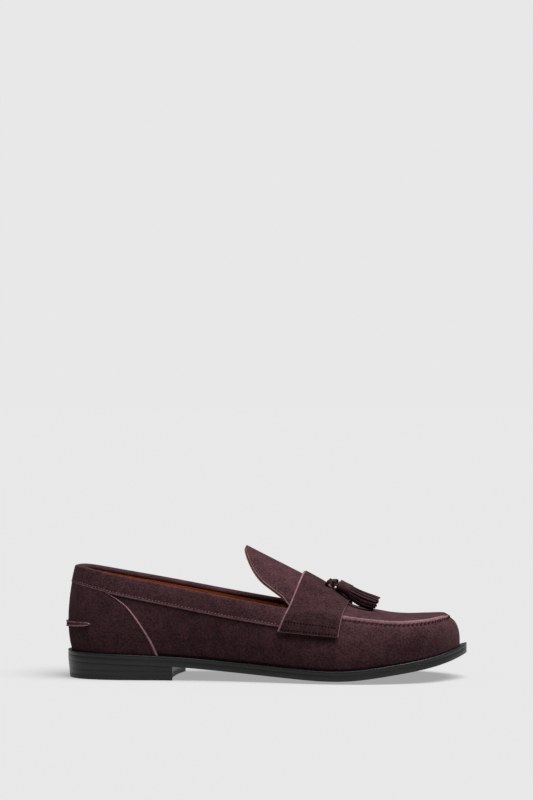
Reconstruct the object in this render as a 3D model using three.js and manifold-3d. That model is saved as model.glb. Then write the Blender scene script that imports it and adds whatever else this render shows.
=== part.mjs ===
// Tasselled penny loafer for the right foot, in millimetres.
// +X points to the toe, +Y to the medial (inner) side of the foot, +Z up. The floor is Z = 0.
import * as THREE from 'three';
import Module from 'manifold-3d';
import { mergeVertices } from 'three/addons/utils/BufferGeometryUtils.js';

const wasm = await Module();
wasm.setup();

// ---------------------------------------------------------------- driving dimensions

const LENGTH = 271;            // sole, heel to toe
const WIDTH = 96;              // sole, across the ball of the foot
const BACK_HEIGHT = 74.3;      // floor to the cut edge of the quarters at the back
const HEEL_HEIGHT = 12;        // floor to the sole at the back of the heel
const HEEL_DROP = 2.8;         // how much lower the sole is at the heel breast
const TOE_SPRING = 17.2;       // floor to the sole at the toe
const SOLE_CROWN = 1.8;        // how far the tread bellies down below its edge at the ball

const SOLE_THICKNESS = 3.9;
const WELT_THICKNESS = 2.2;
const WELT_WIDTH = 9;
const WELT_AT_HEEL = 3.6;      // how far the welt stands out past the upper
const WELT_AT_TOE = 4.7;
const TOP_PIECE = 3;           // rubber wear piece under the heel
const LIFT_THICKNESS = 3.4;    // each leather lift of the heel
const HEEL_LENGTH = 76;        // heel back to heel breast
const HEEL_TAPER = 1.2;        // how far the heel draws in towards the floor

const SUEDE = 1.4;
const STIFFENER = 1.0;
const LINING = 0.9;
const OVERLAY = 1.2;           // suede laid on the upper: collar strip and counter cover
const MARGIN = 10;             // lasting margin that turns in under the insole
const INSOLE = 2;
const SOCK = 1.2;
const HEEL_CUSHION = 2.7;
const SHANK_LENGTH = 104;
const SHANK_WIDTH = 14;
const SHANK_START = 44;        // from the back of the sole
const CUSHION_START = 13;
const CUSHION_END = 74;

const COLLAR_DEPTH = 12.8;     // outer leg of the folded collar strip
const COLLAR_INSIDE = 3;       // inner leg of the folded collar strip
const TAB_LENGTH = 22;         // heel tab, from the back seam to each end
const TAB_WIDTH = 3.6;
const TAB_SUEDE = 0.9;
const TAB_HEIGHT = 35.8;

const STRAP_SKIN = 1.2;
const STRAP_BACKING = 0.8;
const STRAP_REAR = 25.2;       // rear edge of the strap on the ridge, from the middle of the sole
const STRAP_FRONT = 56.1;      // front edge of the strap on the ridge
const STRAP_HEM = 32.2;        // height of the strap's lower edge
const SLOT_LENGTH = 22;
const SLOT_WIDTH = 4.4;
const SLOT_AT = 41.7;          // slot centre, from the middle of the sole

const APRON = 1.9;             // thickness of the apron, whose cut edge shows as the seam
const APRON_REAR = 38;         // where the apron ends below the strap
const TONGUE_LENGTH = 42.2;
const TONGUE_ROUND = 26;       // length of the rounded tip
const TONGUE_HALF = 27.5;      // half width of the tongue where its rounded tip ends
const TONGUE_RADIUS = 36;      // bend of the tongue over the instep
const TONGUE_LINING = 0.9;

const CAP_RADIUS = 3.5;
const CAP_LENGTH = 9.4;
const CAP_WALL = 0.9;
const FRINGE_LENGTH = 20;
const FRINGE_RADIUS = 3.9;
const KNOT_RADIUS = 2.4;
const THONG = 1.8;
const TAIL_LENGTH = 3.4;       // thong behind each knot
const TASSEL_SPREAD = 7;       // each tassel's distance from the ridge

const LINING_JOIN = 12;        // where the quarter lining meets the vamp lining, from the middle of the sole
const COUNTER_END = -66;       // front ends of the heel stiffener
const PUFF_START = 98;         // rear ends of the toe stiffener
const COVER_BACK = -106;       // behind this the counter cover keeps the wall's own facets
const APRON_LINING_END = 111;

const NAILS = 5;
const NAIL_RADIUS = 0.9;

const GAP = 0.3;               // clearance between touching pieces

// ---------------------------------------------------------------- shape of the last

// Edge of the sole, heel to toe: share of the length, shares of the width to each side.
const SOLE_EDGE = [
  [0, 0, 0],
  [0.033, 0.224, 0.224],
  [0.122, 0.323, 0.323],
  [0.252, 0.328, 0.323],
  [0.389, 0.344, 0.313],
  [0.519, 0.406, 0.365],
  [0.637, 0.479, 0.458],
  [0.741, 0.5, 0.5],
  [0.841, 0.458, 0.458],
  [0.915, 0.365, 0.375],
  [0.97, 0.198, 0.229],
  [1, -0.02, 0.02],
];

// Rim of the upper: the topline at the rear and the apron seam in front. Share of the length,
// shares of the width to each side, share of the back height, and the swell of the wall in
// millimetres just above the welt and just below the rim.
const RIM = [
  [0.022, 0, 0, 1, 5.1, 3.8],
  [0.047, 0.145, 0.145, 0.993, 4.8, 4],
  [0.126, 0.25, 0.25, 0.934, 4, 4.5],
  [0.252, 0.286, 0.281, 0.851, 3.5, 4.5],
  [0.389, 0.3125, 0.302, 0.756, 3.5, 4],
  [0.519, 0.333, 0.323, 0.671, 3, 5],
  [0.637, 0.349, 0.344, 0.6, 2.5, 7.5],
  [0.741, 0.36, 0.36, 0.545, 2, 9],
  [0.83, 0.36, 0.365, 0.518, 1.5, 9],
  [0.893, 0.302, 0.323, 0.526, 1, 8.5],
  [0.9335, 0.182, 0.21, 0.542, 0.7, 7.5],
  [0.955, -0.02, 0.02, 0.55, 0.5, 7.2],
];

// Height of the sole's lower edge along its length.
const UNDERSIDE = [
  [0, HEEL_HEIGHT],
  [HEEL_LENGTH / LENGTH, HEEL_HEIGHT - HEEL_DROP],
  [0.42, 6.4],
  [0.583, 3],
  [0.67, SOLE_CROWN],
  [0.74, 2.5],
  [0.84, 6.3],
  [0.92, 10.2],
  [0.97, 13.9],
  [1, TOE_SPRING],
];

// Height of the ridge of the apron and instep, by distance from the middle as a share of the length.
const RIDGE = [
  [0.0185, 79.6],
  [0.096, 69],
  [0.148, 61],
  [0.185, 54.2],
  [0.211, 49.3],
  [0.244, 46.4],
  [0.28, 44.9],
  [0.31, 43.1],
  [0.359, 42],
  [0.407, 42.3],
  [0.437, 42.5],
  [0.459, 42.6],
];

const vec = (x, y, z) => new THREE.Vector3(x, y, z);
const { lerp, smoothstep, clamp } = THREE.MathUtils;

// A smooth height through points, read by distance along X.
function profile(points) {
  const slope = (i) => {
    const before = points[Math.max(i - 1, 0)];
    const after = points[Math.min(i + 1, points.length - 1)];
    return (after[1] - before[1]) / (after[0] - before[0]);
  };
  return (x) => {
    let i = 0;
    while (i < points.length - 2 && x > points[i + 1][0]) i++;
    const [x0, y0] = points[i];
    const [x1, y1] = points[i + 1];
    const span = x1 - x0;
    const k = (x - x0) / span;
    const a = 2 * k ** 3 - 3 * k ** 2 + 1;
    const b = k ** 3 - 2 * k ** 2 + k;
    const c = 3 * k ** 2 - 2 * k ** 3;
    const d = k ** 3 - k ** 2;
    return a * y0 + b * span * slope(i) + c * y1 + d * span * slope(i + 1);
  };
}

// A closed curve through the stations: up the lateral side to the toe, back down the medial one.
function loopThrough(rows, point) {
  const inner = rows.slice(1, -1);
  const ring = [
    point(rows[0], 1),
    ...inner.map((row) => point(row, 1)),
    point(rows[rows.length - 1], 1),
    ...inner.reverse().map((row) => point(row, 2)),
  ];
  const curve = new THREE.CatmullRomCurve3(ring, true, 'catmullrom', 0.5);
  return (t) => curve.getPoint(((t % 1) + 1) % 1);
}

const acrossShare = (row, side) => (side === 1 ? -row[1] : row[2]) * WIDTH;
const alongShare = (row) => (row[0] - 0.5) * LENGTH;

const soleEdge = loopThrough(SOLE_EDGE, (row, side) => vec(alongShare(row), acrossShare(row, side), 0));
const rimPoint = (row, side) => vec(alongShare(row), acrossShare(row, side), row[3] * BACK_HEIGHT);
const rim = loopThrough(RIM, rimPoint);
const swell = loopThrough(RIM, (row) => vec(row[4], row[5], 0));

const undersideByShare = profile(UNDERSIDE);
const underside = (x) => undersideByShare(clamp(x / LENGTH + 0.5, 0, 1));
const weltTop = (x) => underside(x) + SOLE_THICKNESS + GAP + WELT_THICKNESS;
const seat = (x) => weltTop(x) + GAP;
const ridgeByShare = profile(RIDGE);
const ridgeHeight = (x) => ridgeByShare(x / LENGTH);
const HEEL_HALF = SOLE_EDGE[2][1] * WIDTH;

// The direction that points out of the shoe, level with the floor, at station t.
function outward(t) {
  const step = 0.002;
  const along = soleEdge(t + step).sub(soleEdge(t - step));
  return vec(along.y, -along.x, 0).normalize();
}

const insetEdge = (t, distance) => soleEdge(t).addScaledVector(outward(t), -distance);

// How far the welt stands out at station t.
function weltReach(t) {
  const share = soleEdge(t).x / LENGTH + 0.5;
  return lerp(WELT_AT_HEEL, WELT_AT_TOE, clamp(share, 0, 1) ** 3);
}

// Where the upper meets the welt.
function feather(t) {
  const point = insetEdge(t, weltReach(t));
  point.z = seat(point.x);
  return point;
}

// The upper's wall at station t, from the welt to the rim.
const wallCurves = new Map();
function wallCurve(t) {
  const key = t.toFixed(7);
  if (wallCurves.has(key)) return wallCurves.get(key);
  const foot = feather(t);
  const top = rim(t);
  const height = top.z - foot.z;
  const out = outward(t);
  const bulge = swell(t);
  const share = clamp(top.x / LENGTH + 0.5, 0, 1);
  const low = foot.clone().addScaledVector(out, bulge.x);
  low.z += height * lerp(0.28, 0.4, share);
  const high = top.clone().addScaledVector(out, bulge.y);
  high.z -= height * lerp(0.25, 0.14, share);
  const curve = new THREE.CubicBezierCurve3(foot, low, high, top);
  curve.arcLengthDivisions = 24;
  wallCurves.set(key, curve);
  return curve;
}

const wall = (t, s) => wallCurve(t).getPointAt(clamp(s, 0, 1));

// The normal of any surface(a, b), turned to face away from the inside of the shoe.
function normalOf(surface, a, b, stepA, stepB, low, high) {
  const b0 = Math.max(b - stepB, low);
  const b1 = Math.min(b + stepB, high);
  const alongA = surface(a + stepA, b).sub(surface(a - stepA, b));
  const alongB = surface(a, b1).sub(surface(a, b0));
  const normal = alongA.cross(alongB).normalize();
  const point = surface(a, b);
  const inside = vec(clamp(point.x, -0.4 * LENGTH, 0.36 * LENGTH), 0, 30);
  return normal.dot(point.sub(inside)) < 0 ? normal.negate() : normal;
}

// A point of the wall moved out (or in, when negative) by a distance.
function wallAt(t, s, offset) {
  const normal = normalOf(wall, t, s, 0.002, 0.02, 0, 1);
  return wall(t, s).addScaledVector(normal, offset);
}

const share = (t, distance) => distance / wallCurve(t).getLength();

// Station t on the lateral side (0 to 0.5) where the rim has a given x.
function stationAt(x) {
  let low = 0;
  let high = 0.5;
  for (let i = 0; i < 30; i++) {
    const middle = (low + high) / 2;
    if (rim(middle).x < x) low = middle;
    else high = middle;
  }
  return low;
}

// How far the apron's cut edge stands up from the rim; behind the apron this fades away.
const apronRise = (x) => (APRON + GAP) * smoothstep(x, APRON_REAR - 14, APRON_REAR);

// The instep and apron, arched from the lateral rim (v = -1) over the ridge to the medial one.
function arch(t, v) {
  const side = v < 0 ? t : 1 - t;
  const edge = rim(side);
  edge.z += apronRise(edge.x);
  const ridge = vec(edge.x, 0, Math.max(ridgeHeight(edge.x), edge.z));
  const rise = ridge.z - edge.z;
  const low = vec(edge.x, edge.y * 0.75, edge.z + 0.52 * rise);
  const high = vec(edge.x, edge.y * 0.42, ridge.z);
  const k = 1 - Math.abs(v);
  return new THREE.CubicBezierCurve3(edge, low, high, ridge).getPoint(k);
}

function archAt(t, v, offset) {
  const spread = (a, b) => arch(clamp(a, 0.01, 0.4999), b);
  const normal = normalOf(spread, t, v, 0.002, 0.03, -1, 1);
  return arch(t, v).addScaledVector(normal, offset);
}

// ---------------------------------------------------------------- making solids

// Joins equal vertices, drops collapsed triangles and turns the faces outwards.
function tidy(geometry) {
  geometry.deleteAttribute('normal');
  geometry.deleteAttribute('uv');
  const merged = mergeVertices(geometry, 1e-3);
  const index = merged.index.array;
  const at = merged.attributes.position;
  const kept = [];
  let volume = 0;
  for (let i = 0; i < index.length; i += 3) {
    const [a, b, c] = [index[i], index[i + 1], index[i + 2]];
    if (a === b || b === c || c === a) continue;
    kept.push([a, b, c]);
    const [p, q, r] = [a, b, c].map((n) => vec(at.getX(n), at.getY(n), at.getZ(n)));
    volume += p.dot(q.cross(r));
  }
  merged.setIndex(kept.flatMap(([a, b, c]) => (volume < 0 ? [a, c, b] : [a, b, c])));
  return merged;
}

// A box of unit size whose points are moved by map(u, v, w), each from 0 to 1.
function bent(nu, nv, nw, map) {
  const box = new THREE.BoxGeometry(1, 1, 1, nu, nv, nw);
  const at = box.attributes.position;
  for (let i = 0; i < at.count; i++) {
    const point = map(at.getX(i) + 0.5, at.getY(i) + 0.5, at.getZ(i) + 0.5);
    at.setXYZ(i, point.x, point.y, point.z);
  }
  return tidy(box);
}

// A closed ring: at each of the steps round it, a closed section with the given corners.
function ring(steps, corners, map) {
  const torus = new THREE.TorusGeometry(2, 1, corners, steps);
  const at = torus.attributes.position;
  const uv = torus.attributes.uv;
  for (let i = 0; i < at.count; i++) {
    const t = uv.getX(i) % 1;
    const corner = Math.round(uv.getY(i) * corners) % corners;
    const point = map(t, corner);
    at.setXYZ(i, point.x, point.y, point.z);
  }
  return tidy(torus);
}

// A plate with the outline edge(t), built in rows from the heel end to the toe end.
function plate(edge, rows, across, bottom, top) {
  return bent(rows, across, 1, (u, v, w) => {
    const point = edge(u / 2).lerp(edge(1 - u / 2), v);
    point.z = w < 0.5 ? bottom(point.x, v) : top(point.x, v);
    return point;
  });
}

// A skin between two offsets of a surface, over the patch that place(u, v) picks.
function skin(nu, nv, inner, outer, place, surfaceAt) {
  return bent(nu, nv, 1, (u, v, w) => {
    const [a, b] = place(u, v);
    return surfaceAt(a, b, lerp(inner, outer, w));
  });
}

function toManifold(geometry) {
  const mesh = new wasm.Mesh({
    numProp: 3,
    vertProperties: new Float32Array(geometry.attributes.position.array),
    triVerts: new Uint32Array(geometry.index.array),
  });
  return new wasm.Manifold(mesh);
}

function fromManifold(solid) {
  const mesh = solid.getMesh();
  const geometry = new THREE.BufferGeometry();
  geometry.setAttribute('position', new THREE.BufferAttribute(mesh.vertProperties, 3));
  geometry.setIndex(new THREE.BufferAttribute(mesh.triVerts, 1));
  return geometry;
}

const cut = (body, ...tools) =>
  fromManifold(tools.reduce((solid, tool) => solid.subtract(toManifold(tool)), toManifold(body)));

const join = (first, ...rest) =>
  fromManifold(rest.reduce((solid, next) => solid.add(toManifold(next)), toManifold(first)));

const finish = (color, roughness, metalness = 0) =>
  new THREE.MeshStandardMaterial({ color, roughness, metalness });

const suede = finish(0x4a3036, 0.95);
const rawEdge = finish(0x7d5c62, 0.95);
const calf = finish(0x9c5d30, 0.6);
const blackEdge = finish(0x27282b, 0.45);
const blackRubber = finish(0x1c1d1f, 0.6);
const board = finish(0x9b7d57, 0.85);
const cork = finish(0xa9815a, 0.9);
const felt = finish(0xcfc6b8, 0.9);
const steel = finish(0x8f9296, 0.35, 1);
const smoothLeather = finish(0x33232a, 0.55);
const thread = finish(0x4b3238, 0.7);

const loafer = new THREE.Group();

function add(name, geometry, material, parent = loafer) {
  const mesh = new THREE.Mesh(geometry, material);
  mesh.name = name;
  parent.add(mesh);
  return mesh;
}

// ---------------------------------------------------------------- heel and sole

// How much the tread bellies down at a place: only in front of the heel, fading out at the toe.
function crown(x, v) {
  const along = x / LENGTH + 0.5;
  const fade = smoothstep(along, HEEL_LENGTH / LENGTH, 0.5) * (1 - smoothstep(along, 0.8, 0.97));
  return SOLE_CROWN * fade * (1 - (2 * v - 1) ** 2);
}

// The nails stand in a horseshoe inside both the welt and the lasting margin.
const NAIL_RING = HEEL_HALF - Math.max(WELT_WIDTH, WELT_AT_HEEL + MARGIN) - NAIL_RADIUS - 2;
const nailHoles = [];
const nails = [];
for (let i = 0; i < NAILS; i++) {
  const angle = Math.PI * (0.5 + i / (NAILS - 1));
  const x = HEEL_HALF - LENGTH / 2 + NAIL_RING * Math.cos(angle);
  const y = NAIL_RING * Math.sin(angle);
  const low = TOP_PIECE + GAP + 0.6;
  const high = seat(x) + SUEDE + GAP + INSOLE;
  const shaft = new THREE.CylinderGeometry(NAIL_RADIUS, NAIL_RADIUS, high - low - GAP, 8);
  shaft.rotateX(Math.PI / 2).translate(x, y, (high + low - GAP) / 2);
  nails.push(tidy(shaft));
  const hole = new THREE.CylinderGeometry(NAIL_RADIUS + GAP, NAIL_RADIUS + GAP, high - low + 2, 8);
  hole.rotateX(Math.PI / 2).translate(x, y, (high + low + 2) / 2 - GAP);
  nailHoles.push(tidy(hole));
}

// The heel's outline, drawn in a little towards the floor and cut straight at the breast.
function heelLayer(bottom, top) {
  const breast = HEEL_LENGTH - LENGTH / 2;
  let low = 0;
  let high = 0.5;
  for (let i = 0; i < 30; i++) {
    const middle = (low + high) / 2;
    if (soleEdge(middle).x < breast) low = middle;
    else high = middle;
  }
  return bent(14, 2, 1, (u, v, w) => {
    const t = low * u;
    const z = w < 0.5 ? bottom : top;
    const level = typeof z === 'function' ? z(soleEdge(t).x) : z;
    const draw = HEEL_TAPER * (1 - level / HEEL_HEIGHT);
    const point = insetEdge(t, draw).lerp(insetEdge(1 - t, draw), v);
    point.z = level;
    return point;
  });
}

const liftBottom = TOP_PIECE + GAP;
const liftTop = liftBottom + LIFT_THICKNESS;
add('heel_top_piece', heelLayer(0, TOP_PIECE), blackRubber);
add('heel_lift_lower', cut(heelLayer(liftBottom, liftTop), ...nailHoles), blackEdge);
add('heel_lift_upper', cut(heelLayer(liftTop + GAP, (x) => underside(x) - GAP), ...nailHoles), blackEdge);
nails.forEach((nail, i) => add(`heel_nail_${i + 1}`, nail, steel));

const outsole = plate(
  soleEdge,
  33,
  4,
  (x, v) => underside(x) - crown(x, v),
  (x) => underside(x) + SOLE_THICKNESS,
);
add('outsole', cut(outsole, ...nailHoles), blackEdge);

add('welt', ring(60, 4, (t, corner) => {
  const point = corner === 0 || corner === 3 ? soleEdge(t) : insetEdge(t, WELT_WIDTH);
  point.z = weltTop(point.x) - (corner < 2 ? WELT_THICKNESS : 0);
  return point;
}), blackEdge);

const inside = (distance) => (t) => insetEdge(t, distance);
const layer = (start, thickness) => [
  (x) => underside(x) + start,
  (x) => underside(x) + start + thickness,
];
const weltBase = SOLE_THICKNESS + GAP;
const marginBase = weltBase + WELT_THICKNESS + GAP;
const insoleBase = marginBase + SUEDE + GAP;
const sockBase = insoleBase + INSOLE + GAP;

const filler = plate(inside(WELT_WIDTH + GAP), 22, 1, ...layer(weltBase, WELT_THICKNESS));
add('cork_filler', cut(filler, ...nailHoles), cork);

const shank = bent(14, 1, 1, (u, v, w) => {
  const x = -LENGTH / 2 + SHANK_START + SHANK_LENGTH * u;
  const half = (SHANK_WIDTH / 2) * (1 - 0.25 * Math.abs(2 * u - 1) ** 3);
  return vec(x, lerp(-half, half, v), underside(x) + marginBase + SUEDE * w);
});
add('steel_shank', shank, steel);

const insoleInset = (t) => weltReach(t) + SUEDE + GAP;
const insole = plate((t) => insetEdge(t, insoleInset(t)), 22, 1, ...layer(insoleBase, INSOLE));
add('insole_board', cut(insole, ...nailHoles), board);

const CUSHION_TAPER = 50;      // where the cushion starts to thin, from the back of the sole
const CUSHION_THIN = 84;
const cushion = (x) =>
  HEEL_CUSHION * (1 - smoothstep(x, -LENGTH / 2 + CUSHION_TAPER, -LENGTH / 2 + CUSHION_THIN));
const WALL_STACK = SUEDE + GAP + STIFFENER + GAP + LINING;
const SOCK_CLEAR = 0.8;        // between the sock and the linings
const sockInset = (t) => weltReach(t) + WALL_STACK + SOCK_CLEAR;
// The heel cushion tapers to a thin front edge under the arch.
const cushionHalf = HEEL_HALF - weltReach(0) - WALL_STACK - 4;
add('heel_cushion', bent(8, 2, 1, (u, v, w) => {
  const x = -LENGTH / 2 + lerp(CUSHION_START, CUSHION_END, u);
  const half = cushionHalf * Math.sqrt(1 - 0.7 * (2 * u - 1) ** 4);
  const depth = Math.max(cushion(x) - GAP, 0.2);
  return vec(x, lerp(-half, half, v), underside(x) + sockBase + GAP + w * depth);
}), felt);

const sockLift = (x) => underside(x) + sockBase + 2 * GAP + cushion(x);
add('sock_lining', plate(
  (t) => insetEdge(t, sockInset(t)),
  22,
  1,
  sockLift,
  (x) => sockLift(x) + SOCK,
), calf);

// ---------------------------------------------------------------- upper wall and its linings

// Every skin of the wall shares these stations and rows, so that their facets stay parallel.
const STATIONS = 66;
const ROWS = 4;
const insideFoot = SUEDE + GAP + INSOLE + GAP + 0.2;
const row = (t, k) => lerp(share(t, insideFoot), 1, k / ROWS);
const stationIndex = (x) => Math.round(stationAt(x) * STATIONS);
const outerCorners = ROWS + 3;

// The one-piece vamp and quarters, with the lasting margin turned in over the welt.
add('vamp_and_quarters', ring(STATIONS, 2 * outerCorners, (t, corner) => {
  const onOuter = corner < outerCorners;
  const step = onOuter ? corner : 2 * outerCorners - 1 - corner;
  const depth = onOuter ? 0 : SUEDE;
  if (step === 0) {
    const point = insetEdge(t, weltReach(t) + MARGIN);
    point.z = seat(point.x) + depth;
    return point;
  }
  if (step === 1) {
    const point = insetEdge(t, weltReach(t) + depth);
    point.z = seat(point.x) + depth;
    return point;
  }
  return wallAt(t, row(t, step - 2), -depth);
}), suede);

// A wall patch from one station of the grid to another, on the rows that the list names.
function wallSkin(from, to, rows, inner, outer) {
  const place = (u, v) => {
    const t = lerp(from, to, u) / STATIONS;
    return [t, rows[Math.round(v * (rows.length - 1))](t)];
  };
  return skin(to - from, rows.length - 1, inner, outer, place, wallAt);
}

const rowsTo = (count) => Array.from({ length: count + 1 }, (_, k) => (t) => row(t, k));
const stiffenerFace = -(SUEDE + GAP);
const liningFace = stiffenerFace - STIFFENER - GAP;

const quarterEnd = stationIndex(LINING_JOIN);
add('quarter_lining', wallSkin(
  -quarterEnd, quarterEnd, rowsTo(ROWS), liningFace - LINING, liningFace,
), calf);

const VAMP_LINING_DROP = 2.4;
const belowRim = (t) => 1 - share(t, VAMP_LINING_DROP);
add('vamp_lining', wallSkin(
  quarterEnd + 1, STATIONS - quarterEnd - 1, [...rowsTo(ROWS - 1), belowRim], liningFace - LINING, liningFace,
), calf);

const counterEnd = stationIndex(COUNTER_END);
const counterTop = (t) => {
  const side = Math.abs(t * STATIONS) / counterEnd;
  return row(t, 3.4 - 0.9 * side ** 3);
};
add('heel_counter', wallSkin(
  -counterEnd, counterEnd, [...rowsTo(2), counterTop], stiffenerFace - STIFFENER, stiffenerFace,
), felt);

const puffStart = stationIndex(PUFF_START);
add('toe_puff', wallSkin(
  puffStart, STATIONS - puffStart, rowsTo(ROWS - 1), stiffenerFace - STIFFENER, stiffenerFace,
), felt);

// ---------------------------------------------------------------- overlays on the quarters

// Lower end of the collar strip at a station, as a share of the wall.
const collarFoot = (t) => 1 - share(t, COLLAR_DEPTH);

// The counter cover's front edge runs from under the collar strip forwards and down to the welt:
// its distance from the middle of the sole, by share of the wall.
const coverEdge = profile([[0, -69.4], [0.2, -73.5], [0.42, -80.5], [0.62, -89], [0.72, -97], [0.79, -108]]);
const midCover = stationAt(-85);
const coverRows = [(t) => share(t, 0.4), ...rowsTo(2), (t) => collarFoot(t) - share(t, GAP)];
const coverStart = stationIndex(COVER_BACK);
const COVER_ENDS = 4;
const COVER_CLEAR = 0.45;      // between the cover and the quarters
const coverSteps = coverStart + COVER_ENDS;
const coverFace = COVER_CLEAR + OVERLAY;
add('counter_cover', skin(2 * coverSteps, coverRows.length - 1, COVER_CLEAR, coverFace, (u, v) => {
  const step = (2 * u - 1) * coverSteps;
  const past = clamp((Math.abs(step) - coverStart) / COVER_ENDS, 0, 1);
  const plain = Math.min(Math.abs(step), coverStart) / STATIONS;
  const height = coverRows[Math.round(v * (coverRows.length - 1))];
  const t = Math.sign(step) * lerp(plain, stationAt(coverEdge(height(midCover))), past);
  return [t, height(t)];
}, wallAt), suede);

// The folded collar strip: an outer leg, a roll over the cut edges and an inner leg.
const COLLAR_STEPS = 7;
const COLLAR_OUTER = 3;
const COLLAR_ROLL = 6;
const COLLAR_CLEAR = 0.5;      // room between the lining and the inner leg
const ROLL_SHARE = 0.62;       // height of the roll over the cut edges, as a share of half its width
function collarPoint(t, v, w) {
  const outLeg = COLLAR_OUTER / COLLAR_STEPS;
  const roll = COLLAR_ROLL / COLLAR_STEPS;
  const away = GAP + OVERLAY * w;
  if (v < outLeg) return wallAt(t, lerp(collarFoot(t), 1, v / outLeg), away);
  if (v > roll) {
    const s = 1 - share(t, COLLAR_INSIDE) * ((v - roll) / (1 - roll));
    return wallAt(t, s, -(WALL_STACK + away + COLLAR_CLEAR));
  }
  const angle = (Math.PI * (v - outLeg)) / (roll - outLeg);
  const normal = normalOf(wall, t, 1, 0.002, 0.02, 0, 1);
  const up = wall(t, 1).sub(wall(t, 0.96)).normalize();
  const centre = wallAt(t, 1, -WALL_STACK / 2);
  const radius = WALL_STACK / 2 + away;
  return centre
    .addScaledVector(normal, radius * Math.cos(angle))
    .addScaledVector(up, ROLL_SHARE * radius * Math.sin(angle));
}

// Its ends slant forwards along the strap's rear edge.
const COLLAR_END_LOW = STRAP_REAR - 15.9;
const COLLAR_END_HIGH = STRAP_REAR - 10.3;
const collarLast = stationIndex(COLLAR_END_LOW - 5.4);
add('collar_strip', bent(2 * collarLast + 2, COLLAR_STEPS, 1, (u, v, w) => {
  const step = lerp(-collarLast - 1, collarLast + 1, u);
  const slant = Math.min((v * COLLAR_STEPS) / COLLAR_OUTER, 1);
  const end = stationAt(lerp(COLLAR_END_LOW, COLLAR_END_HIGH, slant));
  const t = Math.abs(step) > collarLast + 0.5 ? Math.sign(step) * end : step / STATIONS;
  return collarPoint(t, v, w);
}), suede);

// The small strip across the back of the heel, narrowing to its ends.
function wallShareAtHeight(t, z) {
  let low = 0;
  let high = 1;
  for (let i = 0; i < 24; i++) {
    const middle = (low + high) / 2;
    if (wall(t, middle).z < z) low = middle;
    else high = middle;
  }
  return low;
}
const tabEnd = stationAt(-LENGTH / 2 + TAB_LENGTH);
add('heel_tab', skin(16, 2, 2 * GAP + OVERLAY, 2 * GAP + OVERLAY + TAB_SUEDE, (u, v) => {
  const side = 2 * u - 1;
  const t = side * tabEnd;
  const half = (TAB_WIDTH / 2) * (1 - 0.45 * Math.abs(side) ** 2);
  const height = TAB_HEIGHT + 1.2 * Math.abs(side) + lerp(-half, half, v);
  return [t, wallShareAtHeight(t, height)];
}, wallAt), suede);

// ---------------------------------------------------------------- apron, strap and tongue

const apronStart = stationAt(APRON_REAR);
add('apron', skin(16, 8, -APRON, 0, (u, v) => [lerp(apronStart, 0.5, u), 2 * v - 1], (t, v, offset) => {
  const point = arch(t, v);
  point.z += offset;
  return point;
}), suede);

const apronLiningEnd = stationAt(APRON_LINING_END);
const apronLiningFace = -(APRON + 3 * GAP);
add('apron_lining', skin(12, 6, apronLiningFace - LINING, apronLiningFace, (u, v) =>
  [lerp(apronStart, apronLiningEnd, u), (2 * v - 1) * 0.72], (t, v, offset) => {
  const point = arch(t, v);
  point.z += offset;
  return point;
}), calf);

// Sewing thread that runs round the wall just below the apron's edge.
const seamPath = [];
const SEAM_POINTS = 40;
const seamStart = stationAt(STRAP_FRONT + 2);
const THREAD = 1;
const THREAD_DROP = 1.6;       // how far the thread runs below the rim
const THREAD_OUT = 0.9;        // and how far out from the wall
for (let i = 0; i <= SEAM_POINTS; i++) {
  const t = lerp(seamStart, 1 - seamStart, i / SEAM_POINTS);
  seamPath.push(wallAt(t, 1 - share(t, THREAD_DROP), THREAD_OUT));
}
const threadSection = new THREE.Shape([
  new THREE.Vector2(THREAD / 2, 0),
  new THREE.Vector2(0, THREAD / 2),
  new THREE.Vector2(-THREAD / 2, 0),
  new THREE.Vector2(0, -THREAD / 2),
]);
add('apron_thread', tidy(new THREE.ExtrudeGeometry(threadSection, {
  steps: 48,
  bevelEnabled: false,
  extrudePath: new THREE.CatmullRomCurve3(seamPath),
})), thread);

// One side of the shoe's section at station t, measured from the ridge down to the welt.
const sections = new Map();
function sectionFrom(t, side, offset) {
  const key = `${t.toFixed(6)} ${side} ${offset}`;
  if (sections.has(key)) return sections.get(key);
  const station = side < 0 ? t : 1 - t;
  const points = [];
  for (let i = 0; i <= 16; i++) points.push(archAt(t, (side * i) / 16, offset));
  for (let i = 1; i <= 16; i++) {
    const s = 1 - i / 16;
    const clear = apronRise(rim(station).x) * smoothstep(s, 0.6, 1);
    points.push(wallAt(station, s, offset + clear));
  }
  const section = new THREE.CatmullRomCurve3(points, false, 'centripetal');
  section.arcLengthDivisions = 64;
  sections.set(key, section);
  return section;
}

const HEM_RUN = 57;            // ridge to hem, along the strap
const HEM_SLOPE = 0.08;        // how fast the hem falls towards the toe
const REAR_CURVE = 12.4;       // how far the rear edge has curved back at the hem
const FRONT_CURVE = 2.6;       // and the front edge, which starts to curve lower down
const FRONT_STRAIGHT = 22;
const strapHem = (x) => STRAP_HEM + HEM_SLOPE * (SLOT_AT - 10 - x);
const rearLine = (q) => STRAP_REAR - REAR_CURVE * (q / HEM_RUN) ** 2;
const frontLine = (q) =>
  STRAP_FRONT - FRONT_CURVE * (Math.max(q - FRONT_STRAIGHT, 0) / (HEM_RUN - FRONT_STRAIGHT)) ** 1.7;

// A point of the strap: a from its rear edge to its front edge, b from hem to hem.
function strapAt(a, b, offset) {
  const side = b < 0 ? -1 : 1;
  const reach = Math.abs(b);
  const q = reach * HEM_RUN;
  const x = lerp(rearLine(q), frontLine(q), a);
  const section = sectionFrom(stationAt(x), side, offset);
  let low = 0;
  let high = 1;
  for (let i = 0; i < 20; i++) {
    const middle = (low + high) / 2;
    if (section.getPointAt(middle).z > strapHem(x)) low = middle;
    else high = middle;
  }
  return section.getPointAt(low * reach);
}

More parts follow.
